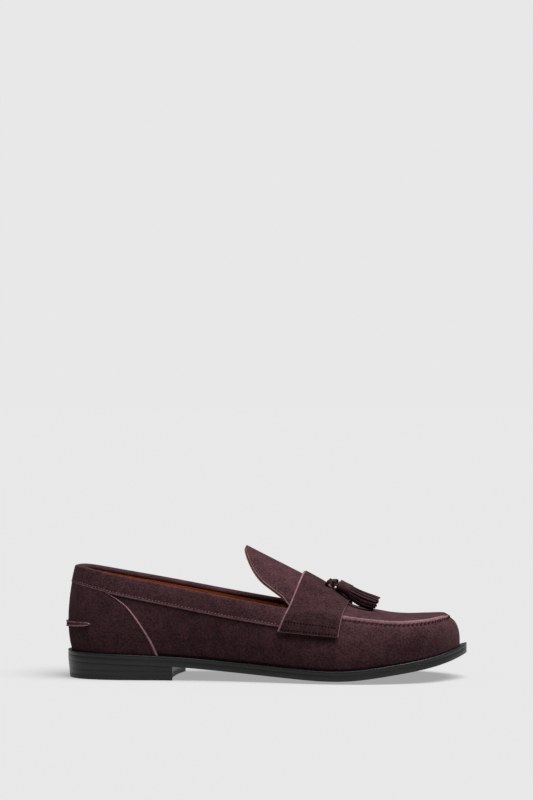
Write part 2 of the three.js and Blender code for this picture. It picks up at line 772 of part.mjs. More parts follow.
const strapFace = 0.6;          // room for the apron's edge under the strap
const backingFace = strapFace + STRAP_BACKING;
const STRAP_CLEAR = 0.45;       // room between the backing and the strap
const skinFace = backingFace + STRAP_CLEAR;
const slope = Math.atan2(ridgeHeight(SLOT_AT + 8) - ridgeHeight(SLOT_AT - 8), 16);

function slotTool(grow) {
  const shape = new THREE.Shape();
  const half = SLOT_LENGTH / 2 + grow;
  const wide = SLOT_WIDTH / 2 + grow;
  shape.absarc(0, half - wide, wide, 0, Math.PI);
  shape.absarc(0, -(half - wide), wide, Math.PI, 2 * Math.PI);
  const tool = new THREE.ExtrudeGeometry(shape, { depth: 24, bevelEnabled: false, curveSegments: 6 });
  tool.translate(0, 0, -12);
  tool.rotateY(-slope);
  tool.translate(SLOT_AT, 0, ridgeHeight(SLOT_AT));
  return tidy(tool);
}

// A layer of the strap, drawn in all round by a share of its size.
function strapPatch(inner, outer, trim) {
  return bent(6, 20, 1, (u, v, w) => {
    const along = lerp(trim, 1 - trim, u);
    return strapAt(along, (2 * v - 1) * (1 - trim), lerp(inner, outer, w));
  });
}
add('strap_backing', cut(strapPatch(strapFace, backingFace, 0.01), slotTool(GAP)), rawEdge);
add('strap', cut(strapPatch(skinFace, skinFace + STRAP_SKIN, 0), slotTool(0)), suede);

// The tongue, bent round the instep and rising backwards from the strap.
const tongueSlope = Math.atan2(ridgeHeight(5) - ridgeHeight(26), 21);
const tongueRoot = vec(STRAP_REAR - 0.4, 0, ridgeHeight(STRAP_REAR) + 0.4);
const back = vec(-Math.cos(tongueSlope), 0, Math.sin(tongueSlope));
const over = vec(Math.sin(tongueSlope), 0, Math.cos(tongueSlope));

function tongueHalf(fromTip) {
  const rounding = 1 - Math.min(fromTip / TONGUE_ROUND, 1);
  return TONGUE_HALF * Math.sqrt(1 - rounding ** 2) * (1 + 0.0077 * fromTip);
}

function tonguePoint(u, v, offset, inset) {
  const fromTip = inset + (TONGUE_LENGTH - inset) * (1 - u) ** 1.5;
  const across = 2 * v - 1;
  const half = Math.max(tongueHalf(fromTip) - inset, 0) * (u === 1 ? 0 : 1);
  const angle = (across * half) / TONGUE_RADIUS;
  const radius = TONGUE_RADIUS + offset;
  const root = 2.2 * across ** 2 * (1 - u) ** 3;
  return tongueRoot
    .clone()
    .addScaledVector(back, TONGUE_LENGTH - fromTip - root)
    .addScaledVector(over, radius * Math.cos(angle) - TONGUE_RADIUS)
    .add(vec(0, radius * Math.sin(angle), 0));
}
add('tongue', bent(10, 8, 1, (u, v, w) => tonguePoint(u, v, -SUEDE * (1 - w), 0)), suede);
add('tongue_lining', bent(10, 8, 1, (u, v, w) =>
  tonguePoint(u, v, -SUEDE - GAP - TONGUE_LINING * (1 - w), 0.5)), calf);

// ---------------------------------------------------------------- tassels

const TASSEL_LEAN = 0.81;      // how much of the strap's slope the tassels follow
const NECK_FORWARD = 7.6;      // from the slot to the top of each cap
const NECK_CLEAR = 4.4;        // from the strap up to the middle of the cap's top
const down = vec(Math.cos(slope * TASSEL_LEAN), 0, Math.sin(slope * TASSEL_LEAN));

function lathe(profilePoints, sides) {
  const points = profilePoints.map(([r, y]) => new THREE.Vector2(r, y));
  return tidy(new THREE.LatheGeometry(points, sides));
}

const capTurn = new THREE.Quaternion().setFromUnitVectors(vec(0, 1, 0), down);

function fringeShape(radius) {
  const shape = new THREE.Shape();
  const lobes = 8;
  for (let i = 0; i < 2 * lobes; i++) {
    const r = i % 2 ? radius * 0.72 : radius;
    const angle = (Math.PI * i) / lobes;
    const draw = i ? 'lineTo' : 'moveTo';
    shape[draw](r * Math.cos(angle), r * Math.sin(angle));
  }
  return shape;
}

function makeTassel(name, side) {
  const strapTop = ridgeHeight(SLOT_AT + NECK_FORWARD) + skinFace + STRAP_SKIN;
  const neck = vec(SLOT_AT + NECK_FORWARD, side * TASSEL_SPREAD, strapTop + NECK_CLEAR);
  const tassel = new THREE.Group();
  tassel.position.copy(neck);
  tassel.quaternion.copy(capTurn);
  loafer.add(tassel);

  const bore = CAP_RADIUS - CAP_WALL;
  add(`${name}_cap`, lathe([
    [bore, 0],
    [CAP_RADIUS - 0.2, 0],
    [CAP_RADIUS, 0.5],
    [CAP_RADIUS, CAP_LENGTH],
    [bore, CAP_LENGTH],
    [bore, 0],
  ], 12), smoothLeather, tassel);

  const core = new THREE.CylinderGeometry(bore - GAP, bore - GAP, CAP_LENGTH, 12);
  core.translate(0, CAP_LENGTH / 2 + 0.4, 0);
  const cutStrip = { depth: FRINGE_LENGTH, bevelEnabled: false };
  const skirt = new THREE.ExtrudeGeometry(fringeShape(FRINGE_RADIUS), cutStrip);
  const at = skirt.attributes.position;
  for (let i = 0; i < at.count; i++) {
    const spread = lerp(0.8, 1, at.getZ(i) / FRINGE_LENGTH);
    at.setXY(i, at.getX(i) * spread, at.getY(i) * spread);
  }
  skirt.rotateX(-Math.PI / 2).translate(0, CAP_LENGTH + GAP, 0);
  add(`${name}_fringe`, join(tidy(core), tidy(skirt)), smoothLeather, tassel);

  const knot = tidy(new THREE.SphereGeometry(KNOT_RADIUS, 8, 6).scale(1.15, 1, 0.85));
  const tail = new THREE.CylinderGeometry(THONG / 2, THONG / 2, TAIL_LENGTH, 8);
  tail.rotateZ(Math.PI / 2).translate(-1 - TAIL_LENGTH / 2, 0, 0);
  const knotMesh = add(`${name}_knot`, join(knot, tidy(tail)), smoothLeather);
  knotMesh.position.copy(neck).addScaledVector(down, -KNOT_RADIUS * 1.15 - GAP);
  knotMesh.rotation.y = -Math.atan2(down.z, down.x);
}
makeTassel('lateral_tassel', -1);
makeTassel('medial_tassel', 1);

// The thong that lies in the slot and holds both tassels.
const slotFloor = ridgeHeight(SLOT_AT) + skinFace + 0.2;
const thongHalf = SLOT_LENGTH / 2 - 1.6;
const thongBar = new THREE.CapsuleGeometry(THONG / 2 - 0.1, 2 * thongHalf - THONG, 2, 6);
const thongMesh = add('tassel_thong', tidy(thongBar), smoothLeather);
thongMesh.position.set(SLOT_AT, 0, slotFloor);

export default loafer;
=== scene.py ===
# A tasselled penny loafer for the right foot, in dark burgundy suede on a black leather sole.
# +X points to the toe, +Y to the medial side of the foot, +Z up, and the floor is Z = 0.
from math import atan2, cos, exp, pi, radians, sin, sqrt

import bmesh
import bpy
from mathutils import Matrix, Vector


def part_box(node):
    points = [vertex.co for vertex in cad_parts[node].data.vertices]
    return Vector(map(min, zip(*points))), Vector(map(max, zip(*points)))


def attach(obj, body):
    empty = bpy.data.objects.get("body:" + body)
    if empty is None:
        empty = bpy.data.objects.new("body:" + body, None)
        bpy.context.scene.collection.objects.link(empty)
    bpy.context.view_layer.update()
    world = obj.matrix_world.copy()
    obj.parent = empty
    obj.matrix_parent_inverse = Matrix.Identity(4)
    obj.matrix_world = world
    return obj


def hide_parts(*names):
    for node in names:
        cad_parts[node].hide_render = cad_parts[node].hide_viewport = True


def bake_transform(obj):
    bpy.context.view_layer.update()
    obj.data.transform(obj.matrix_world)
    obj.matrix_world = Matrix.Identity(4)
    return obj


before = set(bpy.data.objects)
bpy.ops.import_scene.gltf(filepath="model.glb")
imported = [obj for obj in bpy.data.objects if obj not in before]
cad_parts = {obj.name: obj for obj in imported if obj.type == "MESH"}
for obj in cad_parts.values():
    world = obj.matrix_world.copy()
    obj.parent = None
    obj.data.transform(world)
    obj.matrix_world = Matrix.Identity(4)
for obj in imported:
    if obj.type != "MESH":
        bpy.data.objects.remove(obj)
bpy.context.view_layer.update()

# ---------------------------------------------------------------- studio
# The shoe stands on a pale grey sweep, lit by a wide soft lamp overhead and the pale room.
# A long lens looks at it level and from the outer side, a little from the front.

PALE = 0.807
VIEW_ANGLE = radians(6.8)
VIEW_DISTANCE = 1.76
VIEW_HEIGHT = 0.1871
SIDE_STEP = 0.00125
ROLL = radians(0.3)
LENS = 117
ROOM_LIGHT = 0.2
LAMP_STRENGTH = 11.5
LAMP_SPREAD = radians(50)
LAMP_TURN = (radians(10), radians(18), 0)
FLOOR_SIZE = 120
FLOOR_GREY = 0.124
FLOOR_GLOW = 0.36              # evens the floor out, so that only the soft shadow shows

camera = bpy.data.objects.new("camera", bpy.data.cameras.new("camera"))
camera.data.lens = LENS
camera.data.sensor_width = 36
camera.data.clip_end = 200
camera.location = (
    VIEW_DISTANCE * sin(VIEW_ANGLE) + SIDE_STEP,
    -VIEW_DISTANCE * cos(VIEW_ANGLE),
    VIEW_HEIGHT,
)
camera.rotation_euler = (pi / 2, ROLL, VIEW_ANGLE)
bpy.context.scene.collection.objects.link(camera)
bpy.context.scene.camera = camera
bpy.context.scene.view_settings.view_transform = "Standard"

room = bpy.data.worlds.new("pale_room")
room.use_nodes = True
bpy.context.scene.world = room
nodes = room.node_tree.nodes
seen = nodes["Background"]
seen.inputs["Color"].default_value = (PALE, PALE, PALE, 1)
lit = nodes.new("ShaderNodeBackground")
lit.inputs["Color"].default_value = (1, 1, 1, 1)
lit.inputs["Strength"].default_value = ROOM_LIGHT
path = nodes.new("ShaderNodeLightPath")
either = nodes.new("ShaderNodeMixShader")
room.node_tree.links.new(path.outputs["Is Camera Ray"], either.inputs["Fac"])
room.node_tree.links.new(lit.outputs["Background"], either.inputs[1])
room.node_tree.links.new(seen.outputs["Background"], either.inputs[2])
room.node_tree.links.new(either.outputs["Shader"], nodes["World Output"].inputs["Surface"])

lamp = bpy.data.objects.new("overhead_lamp", bpy.data.lights.new("overhead_lamp", "SUN"))
lamp.data.energy = LAMP_STRENGTH
lamp.data.angle = LAMP_SPREAD
lamp.rotation_euler = LAMP_TURN
bpy.context.scene.collection.objects.link(lamp)

bm = bmesh.new()
bmesh.ops.create_grid(bm, x_segments=8, y_segments=8, size=FLOOR_SIZE / 2)
floor = bpy.data.objects.new("floor", bpy.data.meshes.new("floor"))
bm.to_mesh(floor.data)
bm.free()
bpy.context.scene.collection.objects.link(floor)
paper = bpy.data.materials.new("pale_paper")
paper.use_nodes = True
sweep = paper.node_tree.nodes["Principled BSDF"]
sweep.inputs["Base Color"].default_value = (FLOOR_GREY, FLOOR_GREY, FLOOR_GREY, 1)
sweep.inputs["Roughness"].default_value = 1
sweep.inputs["Specular IOR Level"].default_value = 0
sweep.inputs["Emission Color"].default_value = (1, 1, 1, 1)
sweep.inputs["Emission Strength"].default_value = FLOOR_GLOW
floor.data.materials.append(paper)

# ---------------------------------------------------------------- heel
# A low heel of two black waxed leather lifts under the sole and a black rubber top piece,
# each cut to the sole's outline and drawn in a little towards the floor.

MM = 0.001                     # the shapes below are worked out in millimetres
sole_low, sole_high = [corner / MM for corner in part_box("outsole")]
rubber_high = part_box("heel_top_piece")[1] / MM
LENGTH = sole_high.x - sole_low.x
WIDTH = sole_high.y - sole_low.y
HEEL_LENGTH = rubber_high.x - sole_low.x
HEEL_HEIGHT = 12
HEEL_DROP = 2.8
HEEL_TAPER = 1.2
TOE_SPRING = 17.2
SOLE_CROWN = 1.8
LIFT = 3.4
BREAST_CURVE = 3               # how far the heel's front face is hollowed

# Edge of the sole, heel to toe: share of the length, shares of the width to each side.
SOLE_EDGE = [
    (0, 0, 0), (0.033, 0.224, 0.224), (0.122, 0.323, 0.323), (0.252, 0.328, 0.323),
    (0.389, 0.344, 0.313), (0.519, 0.406, 0.365), (0.637, 0.479, 0.458), (0.741, 0.5, 0.5),
    (0.841, 0.458, 0.458), (0.915, 0.365, 0.375), (0.97, 0.198, 0.229), (1, -0.02, 0.02),
]

# Height of the sole's lower edge along its length.
UNDERSIDE = [
    (0, HEEL_HEIGHT), (HEEL_LENGTH / LENGTH, HEEL_HEIGHT - HEEL_DROP), (0.42, 6.4), (0.583, 3),
    (0.67, SOLE_CROWN), (0.74, 2.5), (0.84, 6.3), (0.92, 10.2), (0.97, 13.9), (1, TOE_SPRING),
]


def clamp(value, low, high):
    return max(low, min(high, value))


def lerp(a, b, k):
    return a + (b - a) * k


def smooth(value, low, high):
    k = clamp((value - low) / (high - low), 0, 1)
    return k * k * (3 - 2 * k)


def last_below(goal, height, low, high):
    """The last place between low and high where height(place), which only rises, is below goal."""
    for _ in range(30):
        middle = (low + high) / 2
        if height(middle) < goal:
            low = middle
        else:
            high = middle
    return low


def height_through(points):
    """A smooth height through points, read by distance along X."""
    def slope(i):
        before = points[max(i - 1, 0)]
        after = points[min(i + 1, len(points) - 1)]
        return (after[1] - before[1]) / (after[0] - before[0])

    def height(x):
        i = 0
        while i < len(points) - 2 and x > points[i + 1][0]:
            i += 1
        (x0, y0), (x1, y1) = points[i], points[i + 1]
        span = x1 - x0
        k = (x - x0) / span
        rise = (k ** 3 - 2 * k ** 2 + k) * slope(i) + (k ** 3 - k ** 2) * slope(i + 1)
        return y0 + (3 * k ** 2 - 2 * k ** 3) * (y1 - y0) + span * rise
    return height


def loop_through(rows, point):
    """A closed curve through the rows: up the lateral side to the toe, back down the medial one."""
    inner = rows[1:-1]
    ring = [point(row, 1) for row in rows] + [point(row, 2) for row in reversed(inner)]
    count = len(ring)

    def place(t):
        whole = (t % 1) * count
        i = int(whole)
        k = whole - i
        p0, p1, p2, p3 = [ring[(i + n) % count] for n in (-1, 0, 1, 2)]
        t0 = (p2 - p0) / 2
        t1 = (p3 - p1) / 2
        square = 3 * (p2 - p1) - 2 * t0 - t1
        cube = 2 * (p1 - p2) + t0 + t1
        return p1 + t0 * k + square * k ** 2 + cube * k ** 3
    return place


def spot(row, side, z=0):
    across = -row[1] if side == 1 else row[2]
    return Vector(((row[0] - 0.5) * LENGTH, across * WIDTH, z))


sole_edge = loop_through(SOLE_EDGE, spot)
underside_by_share = height_through(UNDERSIDE)


def underside(x):
    return underside_by_share(clamp(x / LENGTH + 0.5, 0, 1))


def outward(t):
    """The level direction that points out of the shoe at station t (0 heel, 0.5 toe, 1 heel)."""
    step = 0.002
    along = sole_edge(t + step) - sole_edge(t - step)
    return Vector((along.y, -along.x, 0)).normalized()


def inset_edge(t, distance):
    return sole_edge(t) - outward(t) * distance


def slab(steps, point, ring=False, spread=None, cut=None, hole=None):
    """A closed solid: a grid and one raised from it, bent by point(u, v, w), each from 0 to 1.

    spread(u, v) respaces the grid's lines first. The cut sides take finish 1, and so does the face
    where cut(u, v) is true. hole(u, v) is true where the grid is open.
    """
    bm = bmesh.new()
    bmesh.ops.create_grid(bm, x_segments=steps[0], y_segments=steps[1], size=0.5)
    bmesh.ops.translate(bm, vec=(0.5, 0.5, 0), verts=bm.verts)
    if spread:
        for vert in bm.verts:
            vert.co.x, vert.co.y = spread(vert.co.x, vert.co.y)
    if hole:
        opened = [face for face in bm.faces if hole(*face.calc_center_median()[:2])]
        bmesh.ops.delete(bm, geom=opened, context="FACES")
    raised = bmesh.ops.extrude_face_region(bm, geom=bm.faces[:])["geom"]
    top = [made for made in raised if isinstance(made, bmesh.types.BMVert)]
    bmesh.ops.translate(bm, vec=(0, 0, 1), verts=top)
    bm.normal_update()
    for face in bm.faces:
        face.smooth = True
        side = abs(face.normal.z) < 0.5
        face.material_index = int(side or bool(cut and cut(*face.calc_center_median()[:2])))
    if ring:
        ends = [face for face in bm.faces if abs(face.normal.x) > 0.5]
        bmesh.ops.delete(bm, geom=ends, context="FACES")
    for vert in bm.verts:
        vert.co = point(vert.co.x, vert.co.y, vert.co.z)
    bmesh.ops.remove_doubles(bm, verts=bm.verts, dist=0.002)
    bmesh.ops.recalc_face_normals(bm, faces=bm.faces)
    return bm


def piece(name, bm, finishes, body="root", stands_for=(), bevel=0.0):
    """Turns a shape in millimetres into a finished piece in metres that moves with a body."""
    bmesh.ops.scale(bm, vec=(MM, MM, MM), verts=bm.verts)
    mesh = bpy.data.meshes.new(name)
    bm.to_mesh(mesh)
    bm.free()
    made = bpy.data.objects.new(name, mesh)
    bpy.context.scene.collection.objects.link(made)
    for finish in finishes:
        mesh.materials.append(finish)
    if bevel:
        edge = made.modifiers.new("softened_edges", "BEVEL")
        edge.width = bevel * MM
        edge.segments = 2
        edge.limit_method = "ANGLE"
        edge.angle_limit = radians(40)
    if stands_for:
        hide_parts(*stands_for)
    if body:
        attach(made, body)
    return made


def mottled(
    name, dark, light, patch, grain, depth, roughness, specular=0.5, stretch=(1, 1, 1), share=0.5,
):
    """A finish that drifts between two colours over patches, with a fine grain that is also felt.

    patch and grain are the sizes of the drift and of the grain in millimetres, depth the grain's
    height, stretch how much finer each runs along X, Y and Z, and share how far the grain colours it.
    """
    made = bpy.data.materials.new(name)
    made.use_nodes = True
    nodes = made.node_tree.nodes
    link = made.node_tree.links.new
    shader = nodes["Principled BSDF"]
    shader.inputs["Roughness"].default_value = roughness
    shader.inputs["Specular IOR Level"].default_value = specular
    place = nodes.new("ShaderNodeTexCoord")
    turn = nodes.new("ShaderNodeMapping")
    turn.inputs["Scale"].default_value = stretch
    link(place.outputs["Object"], turn.inputs["Vector"])
    drifts = []
    for size, detail in ((patch, 3), (grain, 4)):
        noise = nodes.new("ShaderNodeTexNoise")
        noise.inputs["Scale"].default_value = 1 / (size * MM)
        noise.inputs["Detail"].default_value = detail
        link(turn.outputs["Vector"], noise.inputs["Vector"])
        drifts.append(noise)
    blend = nodes.new("ShaderNodeMix")
    blend.inputs["Factor"].default_value = share
    link(drifts[0].outputs["Fac"], blend.inputs["A"])
    link(drifts[1].outputs["Fac"], blend.inputs["B"])
    spread = nodes.new("ShaderNodeMapRange")
    spread.inputs["From Min"].default_value = 0.38
    spread.inputs["From Max"].default_value = 0.62
    link(blend.outputs["Result"], spread.inputs["Value"])
    tint = nodes.new("ShaderNodeMix")
    tint.data_type = "RGBA"
    tint.inputs["A"].default_value = (*dark, 1)
    tint.inputs["B"].default_value = (*light, 1)
    link(spread.outputs["Result"], tint.inputs["Factor"])
    link(tint.outputs["Result"], shader.inputs["Base Color"])
    bump = nodes.new("ShaderNodeBump")
    bump.inputs["Strength"].default_value = 1
    bump.inputs["Distance"].default_value = depth * MM
    link(drifts[1].outputs["Fac"], bump.inputs["Height"])
    link(bump.outputs["Normal"], shader.inputs["Normal"])
    return made


black_edge = mottled(
    "waxed_black_edge", (0.0025, 0.0026, 0.003), (0.006, 0.0062, 0.007), 9, 0.8, 0.03, 0.36,
    specular=0.36, stretch=(0.12, 0.12, 1),
)
black_rubber = mottled(
    "black_rubber", (0.0025, 0.0025, 0.003), (0.006, 0.006, 0.0065), 14, 0.5, 0.03, 0.5, specular=0.36,
)

breast_at = last_below(rubber_high.x, lambda t: sole_edge(t).x, 0, 0.5)


def heel_layer(bottom, top):
    """A layer of the heel between two heights, each a function of x."""
    def point(u, v, w):
        t = breast_at * u
        level = lerp(bottom(sole_edge(t).x), top(sole_edge(t).x), w)
        draw = HEEL_TAPER * (1 - level / HEEL_HEIGHT)
        corner = inset_edge(t, draw).lerp(inset_edge(1 - t, draw), v)
        corner.x -= BREAST_CURVE * (1 - (2 * v - 1) ** 2) * u ** 8
        corner.z = level
        return corner
    return slab((60, 16), point)


TOUCH = 0.04                   # hairline left between glued pieces
rubber_top = rubber_high.z
levels = [
    ("heel_rubber", "heel_top_piece", lambda x: 0, lambda x: rubber_top, black_rubber, "black_rubber"),
    ("heel_lift_1", "heel_lift_lower", lambda x: rubber_top + TOUCH,
     lambda x: rubber_top + LIFT, black_edge, "black_leather"),
    ("heel_lift_2", "heel_lift_upper", lambda x: rubber_top + LIFT + TOUCH,
     lambda x: underside(x) - TOUCH, black_edge, "black_leather"),
]
for name, node, bottom, top, finish, slot in levels:
    piece(name, heel_layer(bottom, top), [finish, finish], stands_for=[node], bevel=0.25)

# ---------------------------------------------------------------- outsole and welt
# One black leather outsole runs from the heel to the toe. A flat leather welt lies on its rim,
# stands out past the upper all round, and is waxed black with the sole's edge.

SOLE_THICKNESS = 3.9
WELT_THICKNESS = 2.5
WELT_WIDTH = 9


def crown(x, v):
    """How far the tread bellies down at a place: only in front of the heel, fading at the toe."""
    along = x / LENGTH + 0.5
    fade = smooth(along, HEEL_LENGTH / LENGTH, 0.5) * (1 - smooth(along, 0.8, 0.97))
    return SOLE_CROWN * fade * (1 - (2 * v - 1) ** 2)


def plate(edge, steps, bottom, top):
    """A plate inside the outline edge(t), between two heights."""
    def point(u, v, w):
        corner = edge(u / 2).lerp(edge(1 - u / 2), v)
        corner.z = lerp(bottom(corner.x, v), top(corner.x, v), w)
        return corner
    return slab(steps, point)


sole = plate(
    sole_edge,
    (150, 20),
    lambda x, v: underside(x) - crown(x, v),
    lambda x, v: underside(x) + SOLE_THICKNESS,
)
piece(
    "sole_leather", sole, [black_edge, black_edge], stands_for=["outsole"],
    bevel=0.15,
)


def welt_point(u, v, w):
    corner = inset_edge(u, WELT_WIDTH * v)
    corner.z = underside(corner.x) + SOLE_THICKNESS + TOUCH + (WELT_THICKNESS - TOUCH) * w
    return corner


welt = slab((300, 4), welt_point, ring=True)
piece("welt_strip", welt, [black_edge, black_edge], stands_for=["welt"], bevel=0.15)

# ---------------------------------------------------------------- inside the bottom
# Cork fills the space inside the welt, a spring steel shank stiffens the waist, and five nails
# hold the heel to the leather insole board. Felt stiffens the heel and the toe.

cork = mottled("pressed_cork", (0.24, 0.13, 0.06), (0.5, 0.32, 0.18), 3, 0.9, 0.2, 0.9, specular=0.2)
board = mottled("insole_leather", (0.3, 0.2, 0.1), (0.42, 0.3, 0.17), 12, 0.6, 0.06, 0.8, specular=0.3)
felt = mottled("stiff_felt", (0.5, 0.45, 0.38), (0.7, 0.65, 0.58), 8, 0.4, 0.1, 0.95, specular=0.1)
steel = mottled(
    "spring_steel", (0.26, 0.27, 0.28), (0.4, 0.41, 0.42), 10, 0.4, 0.01, 0.35, stretch=(0.1, 1, 1),
)
steel.node_tree.nodes["Principled BSDF"].inputs["Metallic"].default_value = 1
hidden = {
    "cork_filler": cork, "steel_shank": steel, "insole_board": board, "heel_cushion": felt,
    "heel_counter": felt, "toe_puff": felt, **{f"heel_nail_{i}": steel for i in range(1, 6)},
}
for node, finish in hidden.items():
    for material_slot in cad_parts[node].material_slots:
        material_slot.material = finish

# ---------------------------------------------------------------- vamp and quarters
# One piece of dark burgundy calf suede is pulled round the last from the vamp to the heel, with
# its margin turned in on the welt. In front its rim is gathered into the apron's seam.

BACK_HEIGHT = 74.3
SUEDE = 1.4
MARGIN = 10
WELT_AT_HEEL = 3.6
WELT_AT_TOE = 4.7
GATHER_PITCH = 3.0             # one stitch of the apron's seam
GATHER_DEPTH = 1.3
GATHER_DOWN = 1.6              # how far below the rim the stitches pull most
GATHER_REACH = 1.3             # how far above and below that the pull is felt
GATHER_REAR = 50               # the gathers start under the strap
LOW_PULL = (0.28, 0.4)         # how far up the wall its swell above the welt acts, heel and toe
HIGH_PULL = (0.25, 0.14)       # the same for the swell below the rim, down from the rim
SPINE = (-0.4, 0.36, 30)       # a line inside the shoe: two shares of its length, and its height

# Rim of the upper: share of the length, shares of the width to each side, share of the back
# height, and the swell of the wall just above the welt and just below the rim.
RIM = [
    (0.022, 0, 0, 1, 5.1, 3.8), (0.047, 0.145, 0.145, 0.993, 4.8, 4),
    (0.126, 0.25, 0.25, 0.934, 4, 4.5), (0.252, 0.286, 0.281, 0.851, 3.5, 4.5),
    (0.389, 0.3125, 0.302, 0.756, 3.5, 4),
    (0.519, 0.333, 0.323, 0.671, 3, 5), (0.637, 0.349, 0.344, 0.6, 2.5, 7.5),
    (0.741, 0.36, 0.36, 0.545, 2, 9), (0.83, 0.36, 0.365, 0.518, 1.5, 9),
    (0.893, 0.302, 0.323, 0.526, 1, 8.5), (0.9335, 0.182, 0.21, 0.542, 0.7, 7.5),
    (0.955, -0.02, 0.02, 0.55, 0.5, 7.2),
]

rim = loop_through(RIM, lambda row, side: spot(row, side, row[3] * BACK_HEIGHT))
swell = loop_through(RIM, lambda row, side: Vector((row[4], row[5], 0)))


def seat(x):
    """Height of the welt's top, where the upper stands."""
    return underside(x) + SOLE_THICKNESS + WELT_THICKNESS + TOUCH


def welt_reach(t):
    """How far the welt stands out past the upper."""
    along = clamp(sole_edge(t).x / LENGTH + 0.5, 0, 1)
    return lerp(WELT_AT_HEEL, WELT_AT_TOE, along ** 3)


CURVE_STEPS = 24
wall_curves = {}


def wall_curve(t):
    """The wall's line at station t, from the welt to the rim, and the length along it at each step."""
    key = round(t % 1, 7)
    if key in wall_curves:
        return wall_curves[key]
    foot = inset_edge(t, welt_reach(t))
    foot.z = seat(foot.x)
    top = rim(t)
    height = top.z - foot.z
    out = outward(t)
    bulge = swell(t)
    along = clamp(top.x / LENGTH + 0.5, 0, 1)
    low = foot + out * bulge.x
    low.z += height * lerp(*LOW_PULL, along)
    high = top + out * bulge.y
    high.z -= height * lerp(*HIGH_PULL, along)
    corners = (foot, low, high, top)
    runs = [0.0]
    before = foot
    for i in range(1, CURVE_STEPS + 1):
        here = bezier(corners, i / CURVE_STEPS)
        runs.append(runs[-1] + (here - before).length)
        before = here
    wall_curves[key] = (corners, runs)
    return wall_curves[key]


def bezier(corners, k):
    a, b, c, d = corners
    j = 1 - k
    return a * j ** 3 + b * (3 * j * j * k) + c * (3 * j * k * k) + d * k ** 3


def wall(t, s):
    """A point of the wall, s from 0 at the welt to 1 at the rim, by distance."""
    corners, runs = wall_curve(t)
    goal = clamp(s, 0, 1) * runs[-1]
    i = 0
    while i < CURVE_STEPS - 1 and runs[i + 1] < goal:
        i += 1
    k = (goal - runs[i]) / (runs[i + 1] - runs[i])
    return bezier(corners, (i + k) / CURVE_STEPS)


def normal_of(surface, a, b, step_a, step_b, low, high):
    """The normal of surface(a, b), turned away from the inside of the shoe."""
    across = surface(a, min(b + step_b, high)) - surface(a, max(b - step_b, low))
    normal = (surface(a + step_a, b) - surface(a - step_a, b)).cross(across).normalized()
    point = surface(a, b)
    inside = Vector((clamp(point.x, SPINE[0] * LENGTH, SPINE[1] * LENGTH), 0, SPINE[2]))
    return -normal if normal.dot(point - inside) < 0 else normal


def wall_normal(t, s):
    return normal_of(wall, t, s, 0.002, 0.02, 0, 1)


def wall_at(t, s, offset):
    """A point of the wall moved out, or in when negative, by a distance."""
    return wall(t, s) + wall_normal(t, s) * offset


def run(t, distance):
    """A distance up the wall as a share of its length."""
    return distance / wall_curve(t)[1][-1]


def station_at(x):
    """Station on the lateral side where the rim has a given x."""
    return last_below(x, lambda t: rim(t).x, 0, 0.5)


SEAM_STEPS = 700


def seam_lengths():
    """Stations round the front of the rim, with the distance run at each."""
    start = station_at(GATHER_REAR)
    stations = [lerp(start, 1 - start, i / SEAM_STEPS) for i in range(SEAM_STEPS + 1)]
    runs = [0.0]
    for a, b in zip(stations, stations[1:]):
        runs.append(runs[-1] + (rim(b) - rim(a)).length)
    return stations, runs


SEAM_STATIONS, SEAM_RUNS = seam_lengths()


def seam_run(t):
    """Distance along the apron's seam at station t."""
    start, end = SEAM_STATIONS[0], SEAM_STATIONS[-1]
    k = clamp((t - start) / (end - start), 0, 1) * SEAM_STEPS
    i = min(int(k), SEAM_STEPS - 1)
    return lerp(SEAM_RUNS[i], SEAM_RUNS[i + 1], k - i)


def gather(t, down):
    """How far the wall is drawn in by the seam's stitches, down from the rim in millimetres."""
    t = t % 1
    if t <= SEAM_STATIONS[0] or t >= SEAM_STATIONS[-1]:
        return 0
    wave = 0.5 + 0.5 * cos(2 * pi * seam_run(t) / GATHER_PITCH)
    return GATHER_DEPTH * wave * exp(-((down - GATHER_DOWN) / GATHER_REACH) ** 2)


suede = mottled(
    "burgundy_suede", (0.0105, 0.0042, 0.0051), (0.033, 0.0136, 0.0162), 8, 1.15, 0.3, 0.95,
    specular=0.05, share=0.7,
)
nap = suede.node_tree.nodes["Principled BSDF"]
nap.inputs["Sheen Weight"].default_value = 0.03
nap.inputs["Sheen Roughness"].default_value = 0.5
nap.inputs["Sheen Tint"].default_value = (0.9, 0.6, 0.66, 1)
raw_edge = mottled(
    "raw_suede_edge", (0.075, 0.037, 0.042), (0.14, 0.075, 0.083), 3, 0.5, 0.15, 0.95, specular=0.05,
)

SIDE_STEPS = 150
FRONT_STEPS = 460
WALL_STEPS = 26
MARGIN_STEPS = 3
ROW_PULL = 1.35                # rows of the wall draw together towards the rim
seam_start = SEAM_STATIONS[0]


def wall_station(u):
    """Stations close together along the seam and wider apart round the quarters."""
    rear = SIDE_STEPS / (SIDE_STEPS + FRONT_STEPS)
    if u < rear / 2:
        return seam_start * u / (rear / 2)
    if u > 1 - rear / 2:
        return 1 - seam_start * (1 - u) / (rear / 2)
    return lerp(seam_start, 1 - seam_start, (u - rear / 2) / (1 - rear))


def vamp_point(u, v, w):
    t = wall_station(u)
    turn = MARGIN_STEPS / (WALL_STEPS + MARGIN_STEPS)
    if v < turn - 1e-6:
        reach = welt_reach(t) + MARGIN * (1 - v / turn)
        corner = inset_edge(t, reach + SUEDE * (1 - w))
        corner.z = seat(corner.x) + SUEDE * (1 - w)
        return corner
    s = 1 - ((1 - v) / (1 - turn)) ** ROW_PULL
    down = (1 - s) * wall_curve(t)[1][-1]
    return wall_at(t, s, -SUEDE * (1 - w) - gather(t, down))


